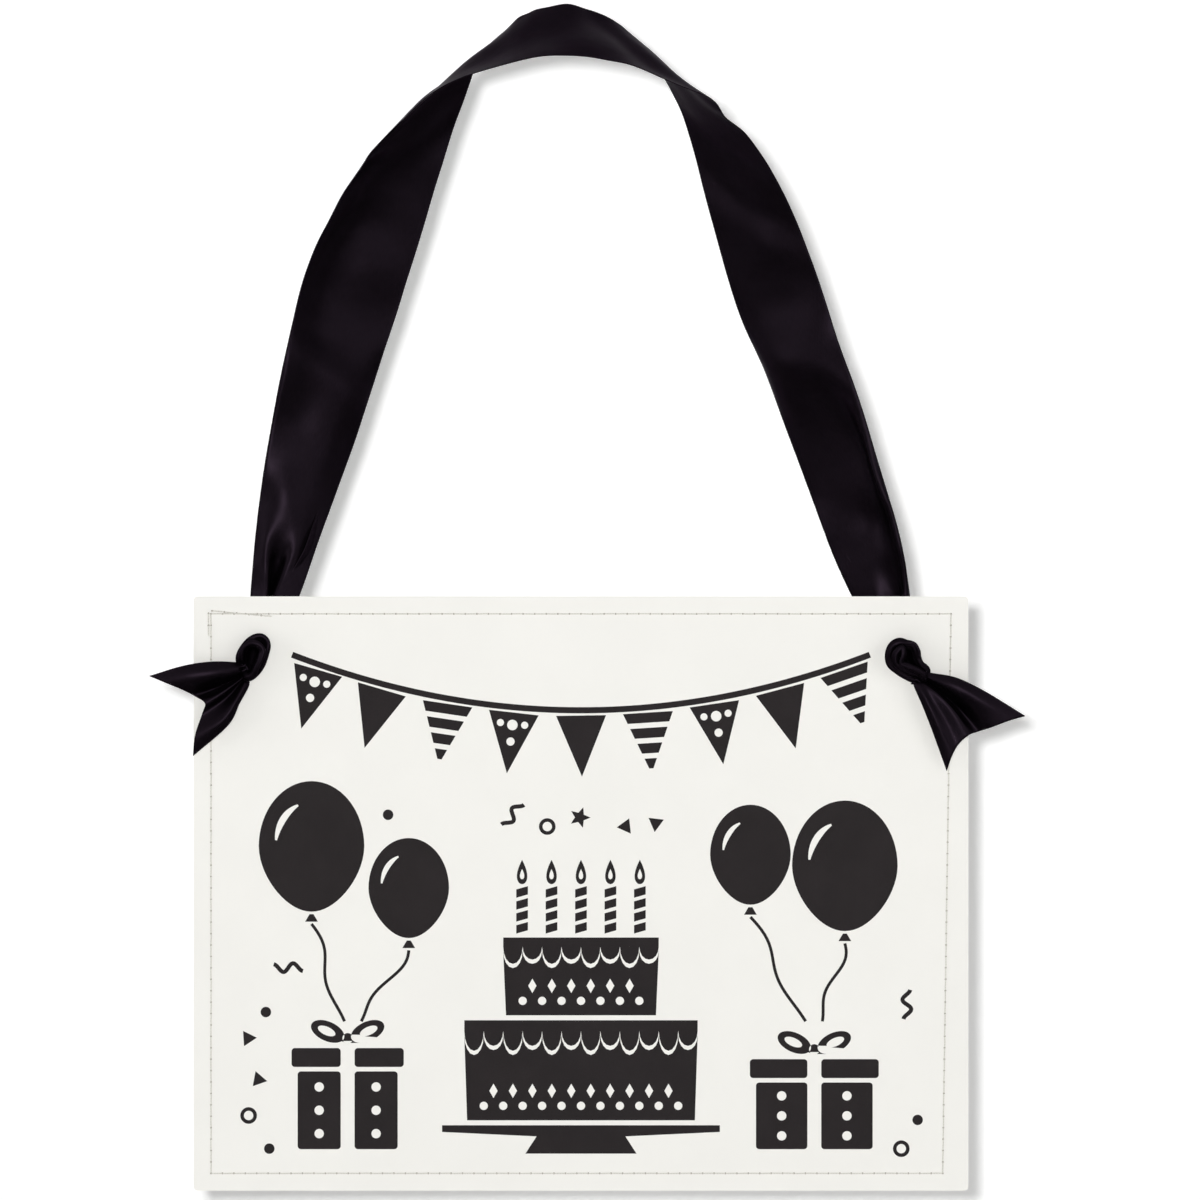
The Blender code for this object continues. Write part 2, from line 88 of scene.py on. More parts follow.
# Places taken from the frame
CARD_LOW, CARD_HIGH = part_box("front_card")
FRONT_FACE = CARD_LOW.y
BACK_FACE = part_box("back_card")[1].y
CARD_MIDDLE = (CARD_LOW + CARD_HIGH) / 2
SEAM_LOW, SEAM_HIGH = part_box("needle_thread")
JOINTS = {joint["name"]: Vector(joint["pos_m"]) for joint in frame["joints"]}
HOLE_Z = JOINTS["card_swing"].z
HOLE_FROM_SIDE = 22.0 * MM
HOLE_RADIUS = 4.0 * MM
LEFT_HOLE_X = CARD_LOW.x + HOLE_FROM_SIDE
RIGHT_HOLE_X = CARD_HIGH.x - HOLE_FROM_SIDE

# Ribbon route, in mm from the origin.
# Station: x, z and depth of the ribbon's middle; the direction in which its far edge lies as
# seen from the front, where 90 is up; how far it is turned away from the viewer; its slant
# along the ribbon; and the roll of its outer edge in radians, back or, if negative, forward.
ARCH_TOP = (0.0, 0.3, 0.0, 90.0, 56.0, 0.0, 0.0)
LEFT_ARCH = [
    (-11.1, -1.0, 1.2, 75.0, 57.3, 18.0, 0.0),
    (-20.6, -3.8, 1.7, 59.0, 50.4, 25.0, 0.0),
    (-34.0, -9.5, 2.8, 45.0, 37.0, 39.0, 0.0),
    (-46.1, -20.9, 4.7, 40.0, 33.0, 36.0, -0.1),
    (-52.3, -30.4, 5.8, 32.0, 22.0, 32.0, -0.3),
    (-57.0, -40.8, 6.8, 22.0, 32.5, 27.0, -0.4),
    (-63.3, -54.0, 7.8, 11.0, 29.0, 18.0, -0.5),
    (-69.1, -69.0, 8.6, 0.0, 26.0, 8.0, -0.6),
    (-74.9, -84.4, 9.1, -12.0, 24.4, 0.0, -0.6),
]
RIGHT_ARCH = [
    (10.9, -1.5, 1.2, 106.0, 57.0, 19.0, 0.0),
    (20.0, -4.3, 1.7, 121.0, 53.0, 23.0, 0.0),
    (35.3, -11.8, 2.7, 137.0, 39.0, 39.0, 0.0),
    (45.2, -23.1, 4.8, 140.0, 48.0, 36.0, 0.0),
    (51.8, -31.7, 6.0, 147.0, 47.5, 32.0, 0.0),
    (58.0, -42.0, 7.0, 154.0, 41.0, 27.0, 0.0),
    (63.2, -55.4, 8.0, 165.0, 39.5, 18.0, 0.0),
    (68.5, -71.0, 8.8, 176.0, 37.0, 8.0, 0.0),
    (73.8, -87.3, 9.5, 186.0, 36.2, 0.0, 0.0),
]

# Station: share of the way from the shoulder to the hole, outward bow and depth in mm,
# direction of the far edge, turn away from the viewer, and share of the width left by the
# folds. Then the folds: share of the width folded back at the outer edge and at the inner
# edge, roll of the outer edge in radians, weight of the valley beside it, and gathering,
# which is 1 for the tight pleats at the hole.
LEFT_STRAND = [
    (0.10, 0.7, 9.8, -14.0, 23.5, 1.00, 0.00, 0.00, -0.55, 0.0, 0.0),
    (0.25, 1.0, 9.7, -15.0, 25.0, 0.95, 0.02, 0.01, -0.30, 0.0, 0.0),
    (0.40, 0.8, 9.0, -15.0, 24.0, 0.88, 0.04, 0.05, -0.12, 0.0, 0.0),
    (0.56, 0.6, 7.4, -14.0, 22.0, 0.76, 0.08, 0.12, 0.05, 0.0, 0.0),
    (0.71, -0.1, 5.2, -12.0, 16.0, 0.61, 0.10, 0.16, 0.15, 0.15, 0.0),
    (0.85, -1.4, 3.4, -10.0, 9.0, 0.46, 0.10, 0.17, 0.20, 0.9, 0.0),
    (0.91, -1.6, 2.6, -6.0, 4.0, 0.36, 0.08, 0.12, 0.10, 0.9, 0.3),
    (0.955, -0.9, 1.9, -2.0, 0.0, 0.24, 0.03, 0.05, 0.00, 0.3, 0.8),
]
RIGHT_STRAND = [
    (0.10, -0.2, 9.8, 192.0, 35.0, 0.97, 0.00, 0.00, -0.05, 0.0, 0.0),
    (0.23, 0.3, 9.5, 196.0, 34.5, 0.885, 0.01, 0.02, -0.15, 0.0, 0.0),
    (0.39, 0.4, 8.9, 198.0, 31.0, 0.835, 0.03, 0.04, -0.45, 0.0, 0.0),
    (0.55, -0.1, 7.4, 198.0, 29.0, 0.775, 0.05, 0.07, -0.65, 0.0, 0.0),
    (0.71, -0.7, 5.2, 197.0, 24.0, 0.70, 0.08, 0.12, -0.85, 0.2, 0.0),
    (0.85, -1.4, 3.4, 194.0, 15.0, 0.53, 0.12, 0.16, -1.00, 0.4, 0.0),
    (0.91, -1.8, 2.6, 189.0, 4.0, 0.38, 0.08, 0.12, -0.60, 0.6, 0.3),
    (0.955, -1.0, 1.9, 183.0, 0.0, 0.24, 0.03, 0.05, 0.00, 0.3, 0.8),
]

# Throat: the gathered ribbon's turn into the hole, as height over the hole and depth in mm
THROAT = [(2.6, 0.9), (0.7, -0.5), (0.0, -2.2), (0.0, -3.4)]
THROAT_KEPT = 0.17
THROAT_EASE = 3.0 * MM
STRAND_EASE = 14.0 * MM
STRAND_ROOM = 0.25 * MM

# Soft dents pressed into the strands: height in mm from the origin, place across from the
# outer edge as a share, length and width in mm, and how far they sink in mm.
LEFT_DENTS = [
    (-106.0, 0.30, 24.0, 12.0, 0.6),
    (-116.0, 0.85, 18.0, 9.0, -0.6),
    (-130.0, 0.50, 12.0, 9.0, -0.8),
    (-143.0, 0.84, 9.0, 7.0, 1.3),
    (-141.0, 0.28, 8.0, 7.0, 1.1),
    (-156.0, 0.62, 10.0, 8.0, -1.0),
    (-167.0, 0.30, 8.0, 6.0, -1.0),
    (-178.0, 0.70, 9.0, 6.0, 1.0),
]
RIGHT_DENTS = [
    (-52.0, 0.75, 16.0, 9.0, 0.8),
    (-76.0, 0.35, 15.0, 10.0, -0.8),
    (-99.0, 0.60, 10.0, 12.0, 1.3),
    (-118.0, 0.40, 12.0, 9.0, -0.8),
    (-137.0, 0.66, 12.0, 7.0, -0.8),
    (-158.0, 0.45, 14.0, 5.0, -0.8),
    (-179.5, 0.44, 5.5, 7.0, 1.4),
    (-192.0, 0.45, 6.0, 8.0, -1.1),
]

# Overhand knots: how the rolled-up ribbon runs. Station: place in mm to the right of the
# hole, above it and out from the card's face, then half the roll's breadth and half its
# thickness in mm.
LEFT_KNOT_RUN = [
    (0.0, 0.0, -0.9, 3.9, 3.9),
    (0.0, -0.1, 0.3, 3.9, 3.4),
    (-1.2, -2.6, 1.2, 3.0, 1.4),
    (-2.2, -6.0, 1.2, 2.4, 1.2),
    (-1.4, -8.8, 2.0, 1.5, 1.6),
    (0.5, -7.4, 2.6, 1.3, 1.8),
    (2.3, -4.3, 3.1, 1.4, 2.3),
    (3.6, -0.6, 3.4, 1.4, 2.5),
    (4.2, 2.6, 3.5, 1.4, 2.6),
    (2.4, 4.5, 3.5, 1.4, 2.6),
    (-0.4, 3.8, 3.6, 1.4, 2.6),
    (-3.0, 1.6, 4.2, 1.4, 2.1),
    (-4.8, -1.4, 4.2, 1.4, 2.0),
    (-5.0, -4.0, 2.8, 1.5, 1.6),
    (-4.0, -6.9, 1.9, 1.3, 1.4),
    (-2.2, -9.0, 3.8, 1.5, 1.6),
    (-0.2, -8.1, 5.0, 1.3, 1.6),
    (0.9, -5.6, 5.9, 1.1, 1.6),
    (2.4, -2.6, 6.4, 1.3, 1.6),
    (3.1, 0.2, 6.7, 1.2, 1.6),
    (1.6, 2.3, 6.8, 1.2, 1.6),
    (-1.0, 2.9, 6.4, 1.2, 1.7),
    (-3.4, 1.2, 5.8, 1.2, 1.8),
    (-4.2, -1.6, 4.8, 1.3, 1.8),
    (-4.0, -4.2, 2.4, 1.6, 1.4),
    (-3.4, -6.8, 1.6, 2.3, 1.2),
]
RIGHT_KNOT_RUN = [
    (0.0, 0.0, -0.9, 3.9, 3.9),
    (0.0, -0.2, 0.3, 3.9, 3.3),
    (1.4, -3.2, 1.2, 3.1, 1.4),
    (3.6, -7.4, 1.6, 2.5, 1.4),
    (2.6, -10.0, 2.2, 1.5, 1.5),
    (-0.4, -8.7, 2.8, 1.4, 1.7),
    (-3.6, -6.5, 3.4, 1.5, 2.0),
    (-5.9, -4.2, 4.0, 1.7, 2.2),
    (-6.4, -1.0, 4.6, 1.8, 2.3),
    (-5.4, 1.7, 5.2, 1.9, 2.3),
    (-3.1, 2.9, 5.4, 1.9, 2.3),
    (-0.6, 2.3, 5.1, 1.4, 2.6),
    (1.5, 1.7, 4.9, 1.2, 2.9),
    (2.5, -0.2, 4.7, 1.2, 3.0),
    (2.8, -2.6, 4.3, 1.3, 2.8),
    (4.4, -4.8, 3.9, 1.5, 2.3),
    (6.4, -6.5, 3.2, 1.5, 1.7),
    (5.9, -8.6, 2.8, 1.5, 1.6),
    (2.4, -7.7, 3.2, 1.4, 1.7),
    (-1.6, -6.0, 4.4, 1.5, 1.9),
    (-4.2, -3.8, 5.6, 1.5, 1.9),
    (-4.2, -0.8, 6.8, 1.4, 1.8),
    (-2.1, 1.1, 7.6, 1.2, 1.6),
    (-1.7, -1.4, 7.9, 0.9, 1.5),
    (-2.3, -4.1, 7.2, 1.0, 1.5),
    (0.3, -5.3, 6.6, 1.1, 1.5),
    (3.2, -6.7, 5.8, 1.2, 1.4),
    (5.2, -8.2, 4.8, 1.3, 1.4),
    (6.0, -10.0, 3.4, 1.7, 1.3),
]

# Tails. Each line runs from inside the knot to the swallow-tail cut: its share of the ribbon's
# width, then the places of its five points in mm from the hole, each to the right, up and out
# from the card's face.
LEFT_TAIL_LINES = [
    (0.00, -2.6, -4.6, 2.2, -6.6, -3.9, 4.2, -15.6, -3.7, 6.0, -25.6, -5.2, 7.2, -37.6, -8.8, 6.4),
    (0.15, -2.6, -5.6, 2.6, -6.8, -6.0, 5.8, -14.2, -6.9, 8.0, -22.2, -8.6, 8.6, -31.2, -11.4, 7.4),
    (0.28, -2.6, -6.6, 2.4, -6.6, -8.0, 5.2, -13.4, -9.6, 7.0, -19.6, -11.4, 7.2, -25.8, -13.6, 6.4),
    (0.39, -2.6, -7.4, 1.8, -6.2, -9.7, 1.8, -11.8, -12.2, 1.6, -16.8, -14.2, 2.2, -21.6, -15.9, 3.4),
    (0.50, -2.6, -8.2, 2.4, -5.6, -10.6, 3.6, -10.0, -13.8, 4.6, -14.2, -16.6, 5.0, -17.6, -18.6, 5.0),
    (0.64, -2.4, -9.0, 2.0, -4.8, -11.2, 2.6, -8.8, -15.8, 2.6, -13.4, -19.6, 3.0, -18.8, -22.8, 3.6),
    (0.84, -2.0, -9.8, 2.6, -3.6, -12.2, 4.6, -6.8, -18.0, 5.8, -11.8, -24.6, 6.0, -21.2, -30.4, 5.0),
    (1.00, -1.6, -10.4, 2.2, -2.1, -12.9, 3.6, -5.2, -18.6, 4.4, -9.4, -26.6, 4.4, -22.0, -37.6, 3.2),
]
RIGHT_TAIL_LINES = [
    (0.00, 4.4, -6.6, 2.4, 8.2, -7.7, 4.4, 17.2, -9.4, 6.2, 27.4, -14.2, 7.0, 42.2, -23.2, 6.4),
    (0.18, 4.2, -7.4, 2.6, 8.2, -9.0, 5.4, 16.8, -12.0, 8.0, 26.0, -17.6, 8.4, 36.4, -24.8, 7.2),
    (0.35, 4.0, -8.2, 2.4, 7.8, -10.0, 5.0, 15.0, -14.0, 7.0, 22.4, -19.4, 6.8, 30.0, -27.2, 6.4),
    (0.46, 3.8, -8.8, 1.8, 7.4, -11.0, 1.8, 13.4, -15.8, 1.6, 19.0, -21.2, 2.2, 25.4, -28.8, 3.4),
    (0.56, 3.6, -9.2, 2.4, 6.6, -11.6, 3.6, 11.6, -15.9, 5.2, 16.6, -21.8, 5.6, 21.6, -30.2, 5.2),
    (0.70, 3.2, -9.6, 2.6, 5.4, -12.2, 4.4, 8.8, -17.4, 5.0, 12.8, -23.8, 4.8, 18.0, -33.6, 4.6),
    (0.86, 2.6, -9.8, 2.6, 3.8, -12.4, 4.6, 6.8, -18.0, 6.0, 10.6, -25.8, 6.0, 15.8, -37.6, 4.6),
    (1.00, 2.0, -9.8, 2.2, 2.2, -12.4, 3.6, 5.1, -19.2, 4.6, 8.8, -28.6, 4.4, 14.0, -43.0, 3.2),
]

# Rows and columns of the cloth pieces
LOOP_ROWS_PER_STATION = 7
LOOP_COLUMNS = 96
KNOT_ROWS_PER_STATION = 6
KNOT_COLUMNS = 116
TAIL_ROWS = 60
TAIL_COLUMNS = 72

# Rays that find how far cloth is closed in by the folds round it, which sets the satin's painted
# shade and dulling there: tilt and number
SHELTER_CONES = [(0.35, 5), (0.70, 6), (1.05, 7)]
SHELTER_START = 0.5 * MM
SHELTER_REACH = 8.0 * MM

# Folding: how hard it may be scaled, and the halvings that find how hard
MOST_FOLDING = 3.0
FOLDING_TRIES = 24

# Folds of the strands, as shares of the ribbon's width
HEM_BEND = 0.06
HEM_FORMED = 0.07
ROLL_END = 0.56
ROLL_EASE = 0.42
VALLEY_START = 0.20
VALLEY_WIDTH = 0.50
STRAND_CROWN = 0.35
THROAT_FOLDS = 4.0

# Soft waves over the loop: length along and across in mm, start in radians, share of the height
RIPPLES = [
    (46.0, 61.0, 0.4, 0.42), (31.0, -83.0, 2.1, 0.30), (23.0, 40.0, 4.4, 0.22),
    (64.0, -34.0, 1.3, 0.38), (17.0, 29.0, 5.2, 0.10),
]

# Rolled-up ribbon of the knots: its core and the depth of its creases as shares of the roll, how
# far it turns from one end to the other in radians, how much it faces outwards and the viewer,
# and the rows over which that is evened out. Creases: weight, number round the roll, drift in
# radians a mm, and start in radians.
ROLL_CORE = 0.3
ROLL_CREASE = 0.24
CREASE_LEVEL = 0.85
ROLL_START = -1.2
ROLL_TURN = 2.6
FACES_OUT = 0.7
FACES_VIEWER = 0.8
FACING_ROWS = 5
KNOT_CREASES = [(0.6, 1.5, 0.21, 0.0), (0.4, 2.5, -0.17, 1.0)]

# Tails: steps of their smooth lines, pleats at the root, and the shares of a tail that the
# pleats and the knot take up
TAIL_LINE_STEPS = 12
TAIL_ROW_STEPS = 10
TAIL_FOLDS = 5.0
TAIL_ROOT_KEPT = 0.2
TAIL_JOIN_SHARE = 0.18

# Seam
STITCH_INSET = 0.18 * MM
SEAM_DRIFT = 3.0 * MM
STITCH_LIFT = 0.30
BACKSTITCH_LIFT = 1.6
HOLE_LIFT = 0.01 * MM
LAST_POINT = 0.9995

# Print
INK_SUNK = 0.008 * MM
CONFETTI_PITCH = 13.5
GARLAND_END = 9.0 * MM
GARLAND_SKIPPED = 3
SCALLOP_STEPS = 8

# Stage, in metres. Lamps: place and size; the key lamp stands beside the camera.
VIEW_MIDDLE = Vector((11.85 * MM, 0.0, -205.3 * MM))
STAGE_REACH = 3.0
KEY_BESIDE = (-0.045, 0.035)
KEY_SIZE = 0.055
LEFT_SOFTBOX = ((-1.80, -0.75, 0.1), 1.1)
LEFT_SOFTBOX_SHARE = 1.4
RIGHT_SOFTBOX = ((1.4, -1.2, 0.1), 1.1)
TOP_SOFTBOX = ((0.0, -0.8, 1.4), 1.0)
CAMERA_LENS = 200.0
CAMERA_SENSOR = 36.0

# Sockets that share their names with others on the same node
MIX_FACTOR, MIX_FIRST, MIX_SECOND, MIX_RESULT = 0, 6, 7, 2
RANDOM_LOW, RANDOM_HIGH, RANDOM_VALUE = 2, 3, 1


class SignRibbonSettings(bpy.types.PropertyGroup):
    """Sizes and colour of the satin ribbon."""

    width: FloatProperty(
        name="Ribbon Width",
        description="Flat width of the ribbon from selvedge to selvedge",
        default=38.0 * MM, min=10.0 * MM, max=80.0 * MM, unit="LENGTH", subtype="DISTANCE")
    thickness: FloatProperty(
        name="Ribbon Thickness",
        description="Thickness of the satin",
        default=0.30 * MM, min=0.1 * MM, max=1.0 * MM, unit="LENGTH", subtype="DISTANCE")
    selvedge: FloatProperty(
        name="Selvedge Width",
        description="Width of the woven edge on each side",
        default=0.9 * MM, min=0.0, max=3.0 * MM, unit="LENGTH", subtype="DISTANCE")
    ripple: FloatProperty(
        name="Ripple Height",
        description="Height of the soft waves left by handling",
        default=0.9 * MM, min=0.0, max=2.0 * MM, unit="LENGTH", subtype="DISTANCE")
    colour: FloatVectorProperty(
        name="Satin Colour",
        description="Colour of the satin where no light glances off it",
        default=(0.0068, 0.0048, 0.0071), min=0.0, max=1.0, size=3, subtype="COLOR")


class SignCardSettings(bpy.types.PropertyGroup):
    """Colour of the card stock and sizes of its seam."""

    colour: FloatVectorProperty(
        name="Card Colour",
        description="Colour of the uncoated card stock",
        default=(0.895, 0.885, 0.845), min=0.0, max=1.0, size=3, subtype="COLOR")
    thread_colour: FloatVectorProperty(
        name="Thread Colour",
        description="Colour of the sewing thread",
        default=(0.80, 0.78, 0.72), min=0.0, max=1.0, size=3, subtype="COLOR")
    stitch_length: FloatProperty(
        name="Stitch Length",
        description="Distance between two needle holes",
        default=4.1 * MM, min=1.0 * MM, max=10.0 * MM, unit="LENGTH", subtype="DISTANCE")
    thread_thickness: FloatProperty(
        name="Thread Thickness",
        description="Thickness of the sewing thread",
        default=0.42 * MM, min=0.1 * MM, max=1.0 * MM, unit="LENGTH", subtype="DISTANCE")
    needle_hole: FloatProperty(
        name="Needle Hole",
        description="Width of each needle hole",
        default=0.75 * MM, min=0.2 * MM, max=2.0 * MM, unit="LENGTH", subtype="DISTANCE")


class SignPrintSettings(bpy.types.PropertyGroup):
    """Sizes and colour of the printed party motif."""

    ink: FloatVectorProperty(
        name="Ink Colour",
        description="Colour of the printed ink",
        default=(0.0168, 0.0137, 0.0144), min=0.0, max=1.0, size=3, subtype="COLOR")
    ink_height: FloatProperty(
        name="Ink Height",
        description="How far the ink stands on the card",
        default=0.04 * MM, min=0.01 * MM, max=0.2 * MM, unit="LENGTH", subtype="DISTANCE")
    pennants: IntProperty(
        name="Pennants",
        description="Number of pennants on the garland",
        default=9, min=3, max=21)
    pennant_width: FloatProperty(
        name="Pennant Width",
        description="Width of a pennant where it hangs from its cord",
        default=18.0 * MM, min=5.0 * MM, max=40.0 * MM, unit="LENGTH", subtype="DISTANCE")
    pennant_drop: FloatProperty(
        name="Pennant Drop",
        description="Length of a pennant from its cord to its point",
        default=22.0 * MM, min=5.0 * MM, max=60.0 * MM, unit="LENGTH", subtype="DISTANCE")


class SignStageSettings(bpy.types.PropertyGroup):
    """Camera, backdrop and lamps."""

    camera_distance: FloatProperty(
        name="Camera Distance",
        description="Distance from the camera to the card's face",
        default=2.4, min=0.5, max=10.0, unit="LENGTH", subtype="DISTANCE")
    wall_distance: FloatProperty(
        name="Wall Distance",
        description="Distance of the backdrop behind the hook, clear of the swinging card",
        default=0.26, min=0.0, max=2.0, unit="LENGTH", subtype="DISTANCE")
    floor_drop: FloatProperty(
        name="Floor Drop",
        description="Distance of the floor below the card",
        default=0.075, min=0.0, max=2.0, unit="LENGTH", subtype="DISTANCE")
    key_power: FloatProperty(
        name="Key Power",
        description="Power of the small key lamp beside the camera",
        default=32.0, min=0.0, max=1000.0, unit="POWER")
    side_power: FloatProperty(
        name="Side Power",
        description="Power of the right softbox, from which the left one's follows",
        default=5.0, min=0.0, max=1000.0, unit="POWER")
    top_power: FloatProperty(
        name="Top Power",
        description="Power of the softbox above",
        default=1.0, min=0.0, max=1000.0, unit="POWER")


# Shared mesh work

def add_piece(name, data, material=None):
    """One named object in the scene, with its material where it has one."""
    piece = bpy.data.objects.new(name, data)
    bpy.context.scene.collection.objects.link(piece)
    if material is not None:
        data.materials.append(material)
    return piece


def plain_mesh(name, source):
    """The mesh that an object's curve or modifiers make. The object is then removed."""
    bpy.context.view_layer.update()
    graph = bpy.context.evaluated_depsgraph_get()
    data = bpy.data.meshes.new_from_object(source.evaluated_get(graph))
    bpy.data.objects.remove(source, do_unlink=True)
    data.name = name
    return data


def smooth_run(points, steps):
    """Points on a smooth curve through the given ones, steps to each stretch."""
    pts = np.array(points, dtype=float)
    before = 2 * pts[0] - pts[1]
    after = 2 * pts[-1] - pts[-2]
    pts = np.vstack([before, pts, after])
    run = []
    for i in range(1, len(pts) - 2):
        p0, p1, p2, p3 = pts[i - 1:i + 3]
        for k in range(steps):
            t = k / steps
            bend = 2 * p0 - 5 * p1 + 4 * p2 - p3
            swing = -p0 + 3 * p1 - 3 * p2 + p3
            run.append(0.5 * (2 * p1 + (p2 - p0) * t + bend * t ** 2 + swing * t ** 3))
    run.append(pts[-2])
    return np.array(run)


def lengths_along(points):
    """Distance from the first point to each point of a line."""
    steps = np.linalg.norm(np.diff(points, axis=0), axis=1)
    return np.concatenate([[0.0], np.cumsum(steps)])


def unit_rows(vectors):
    """Each row scaled to length one."""
    return vectors / np.linalg.norm(vectors, axis=-1, keepdims=True)


def sheltered(points, faces):
    """How far the cloth round each point closes it in on its front side, from 0 to 1; the satin paints
    shade by it.
    """
    cloth = BVHTree.FromPolygons(points.tolist(), faces.tolist())
    rays = []
    for tilt, count in SHELTER_CONES:
        for k in range(count):
            turn = 2 * math.pi * (k + 0.5) / count
            rays.append(Vector((
                math.sin(tilt) * math.cos(turn), -math.cos(tilt), math.sin(tilt) * math.sin(turn))))
    share = np.empty(len(points), dtype=np.float32)
    for k, point in enumerate(points):
        start = Vector(point)
        hits = sum(
            cloth.ray_cast(start + ray * SHELTER_START, ray, SHELTER_REACH)[0] is not None
            for ray in rays)
        share[k] = hits / len(rays)
    return share


def cloth_piece(name, grid, along, material, thickness):
    """A woven sheet from a grid of points, with its weave laid out in mm as its UV map."""
    rows, columns = grid.shape[:2]
    index = np.arange(rows * columns).reshape(rows, columns)
    faces = np.stack(
        [index[:-1, :-1], index[1:, :-1], index[1:, 1:], index[:-1, 1:]], axis=-1).reshape(-1, 4)
    data = bpy.data.meshes.new(name)
    data.from_pydata(grid.reshape(-1, 3).tolist(), [], faces.tolist())
    width = bpy.context.scene.sign_ribbon.width
    across = np.linspace(0.0, width, columns) / MM
    flat = np.stack([np.tile(across, rows), np.repeat(along / MM, columns)], axis=-1)
    layer = data.uv_layers.new(name="weave")
    corners = np.empty(len(data.loops), dtype=np.int32)
    data.loops.foreach_get("vertex_index", corners)
    layer.data.foreach_set("uv", flat[corners].astype(np.float32).ravel())
    # Shelter of each point, read by the satin for its painted shade and its dulling in the folds
    closed_in = data.attributes.new("sheltered", "FLOAT", "POINT")
    closed_in.data.foreach_set("value", sheltered(grid.reshape(-1, 3), faces))
    data.shade_smooth()
    piece = add_piece(name, data, material)
    body = piece.modifiers.new("thickness", "SOLIDIFY")
    body.thickness = thickness
    body.offset = 0.0
    body.use_rim = True
    return piece


def held(value):
    """A number held between 0 and 1."""
    return min(1.0, max(0.0, value))


def eased(values):
    """Values clipped to 0 to 1 with soft ends."""
    values = np.clip(values, 0.0, 1.0)
    return values * values * (3 - 2 * values)


def section_from_angles(angles):
    """Across and outward values of cloth, one unit wide when flat, from its tangent angles."""
    step = 1.0 / (len(angles) - 1)
    middle = (angles[1:] + angles[:-1]) / 2
    across = np.concatenate([[0.0], np.cumsum(np.cos(middle)) * step])
    outward = np.concatenate([[0.0], np.cumsum(np.sin(middle)) * step])
    return across, outward


def fold_section(fixed, shape, kept):
    """Cross-section of folded cloth, one unit wide when flat: across and outward values.

    The fixed angles stay, and the shape's angles are scaled until the folds leave the share
    of the width that is kept.
    """
    low, high = 0.0, MOST_FOLDING
    for _ in range(FOLDING_TRIES):
        scale = (low + high) / 2
        across, outward = section_from_angles(fixed + shape * scale)
        if across.max() - across.min() > kept:
            low = scale
        else:
            high = scale
    across -= (across.max() + across.min()) / 2
    outward -= (outward.max() + outward.min()) / 2
    return across, outward


# Ribbon loop

def strand_stations(shoulder, hole_x, strand, outward):
    """Strand stations in mm, placed between the shoulder and the hole."""
    start = np.array(shoulder[:2])
    end = np.array([hole_x / MM, HOLE_Z / MM])
    way = end - start
    side = np.array([-way[1], way[0]]) / np.linalg.norm(way)
    if side[0] * outward < 0:
        side = -side
    level = 0.0 if outward < 0 else 180.0
    stations = []
    for share, bow, depth, clock, turn, *folds in strand:
        x, z = start + way * share + side * bow
        stations.append((x, z, depth, clock, turn, 0.0, *folds))
    for rise, depth in THROAT:
        stations.append((
            end[0], end[1] + rise, depth, level, 0.0, 0.0, THROAT_KEPT, 0.0, 0.0, 0.0, 0.0, 1.0))
    return stations


def arch_station(x, z, depth, clock, turn, slant, roll):
    """An arch station with its folds: full width, no hems, valley or pleats."""
    return (x, z, depth, clock, turn, slant, 1.0, 0.0, 0.0, roll, 0.0, 0.0)


def loop_stations():
    """All stations in metres, from the left hole over the arch to the right hole."""
    left = [arch_station(*station) for station in LEFT_ARCH]
    right = [arch_station(*station) for station in RIGHT_ARCH]
    left += strand_stations(LEFT_ARCH[-1], LEFT_HOLE_X, LEFT_STRAND, -1)
    right += strand_stations(RIGHT_ARCH[-1], RIGHT_HOLE_X, RIGHT_STRAND, 1)
    route = smooth_run(left[::-1] + [arch_station(*ARCH_TOP)] + right, LOOP_ROWS_PER_STATION)
    route[:, :3] *= MM
    return route


def strand_section(kept, hem_out, hem_in, roll, valley, gathered):
    """Cross-section of a strand from its outer to its inner edge, one unit wide when flat."""
    share = np.linspace(0.0, 1.0, LOOP_COLUMNS)
    hem_out, hem_in = max(0.0, hem_out), max(0.0, hem_in)
    gathered, valley = held(gathered), held(valley)
    turned_out = math.pi * min(1.0, hem_out / HEM_FORMED)
    turned_in = math.pi * min(1.0, hem_in / HEM_FORMED)
    fixed = turned_in * eased((share - 1 + hem_in) / HEM_BEND + 0.5)
    fixed -= turned_out * eased((hem_out - share) / HEM_BEND + 0.5)
    rolled_back = roll * eased((ROLL_END - share) / ROLL_EASE)
    fixed -= rolled_back
    front = (share - hem_out) / (1 - hem_out - hem_in)
    inside = (front - VALLEY_START) / VALLEY_WIDTH
    fold = np.where((inside > 0) & (inside < 1), np.sin(2 * math.pi * inside), 0.0)
    rolled = STRAND_CROWN * (2 * share - 1) - rolled_back
    tight = np.sin(2 * math.pi * THROAT_FOLDS * share)
    shape = (fold * valley + rolled * (1 - valley)) * (1 - gathered) + tight * gathered
    return fold_section(fixed * (1 - gathered), shape, min(0.999, kept))


def ripples(along, across, height):
    """Soft uneven waves over the cloth, the same on every run."""
    total = np.zeros((len(along), len(across)))
    for run, cross, start, share in RIPPLES:
        phase = along[:, None] / (run * MM) + across[None, :] / (cross * MM)
        total += share * np.sin(2 * math.pi * phase + start)
    return total * height


def dents(x, z, share, width):
    """How far the soft dents press a row of cloth back."""
    total = np.zeros(len(share))
    for height, place, length, breadth, sink in LEFT_DENTS if x < 0 else RIGHT_DENTS:
        down = (z / MM - height) / length
        side = (share - place) * width / MM / breadth
        total += sink * MM * np.exp(-(down * down + side * side))
    return total


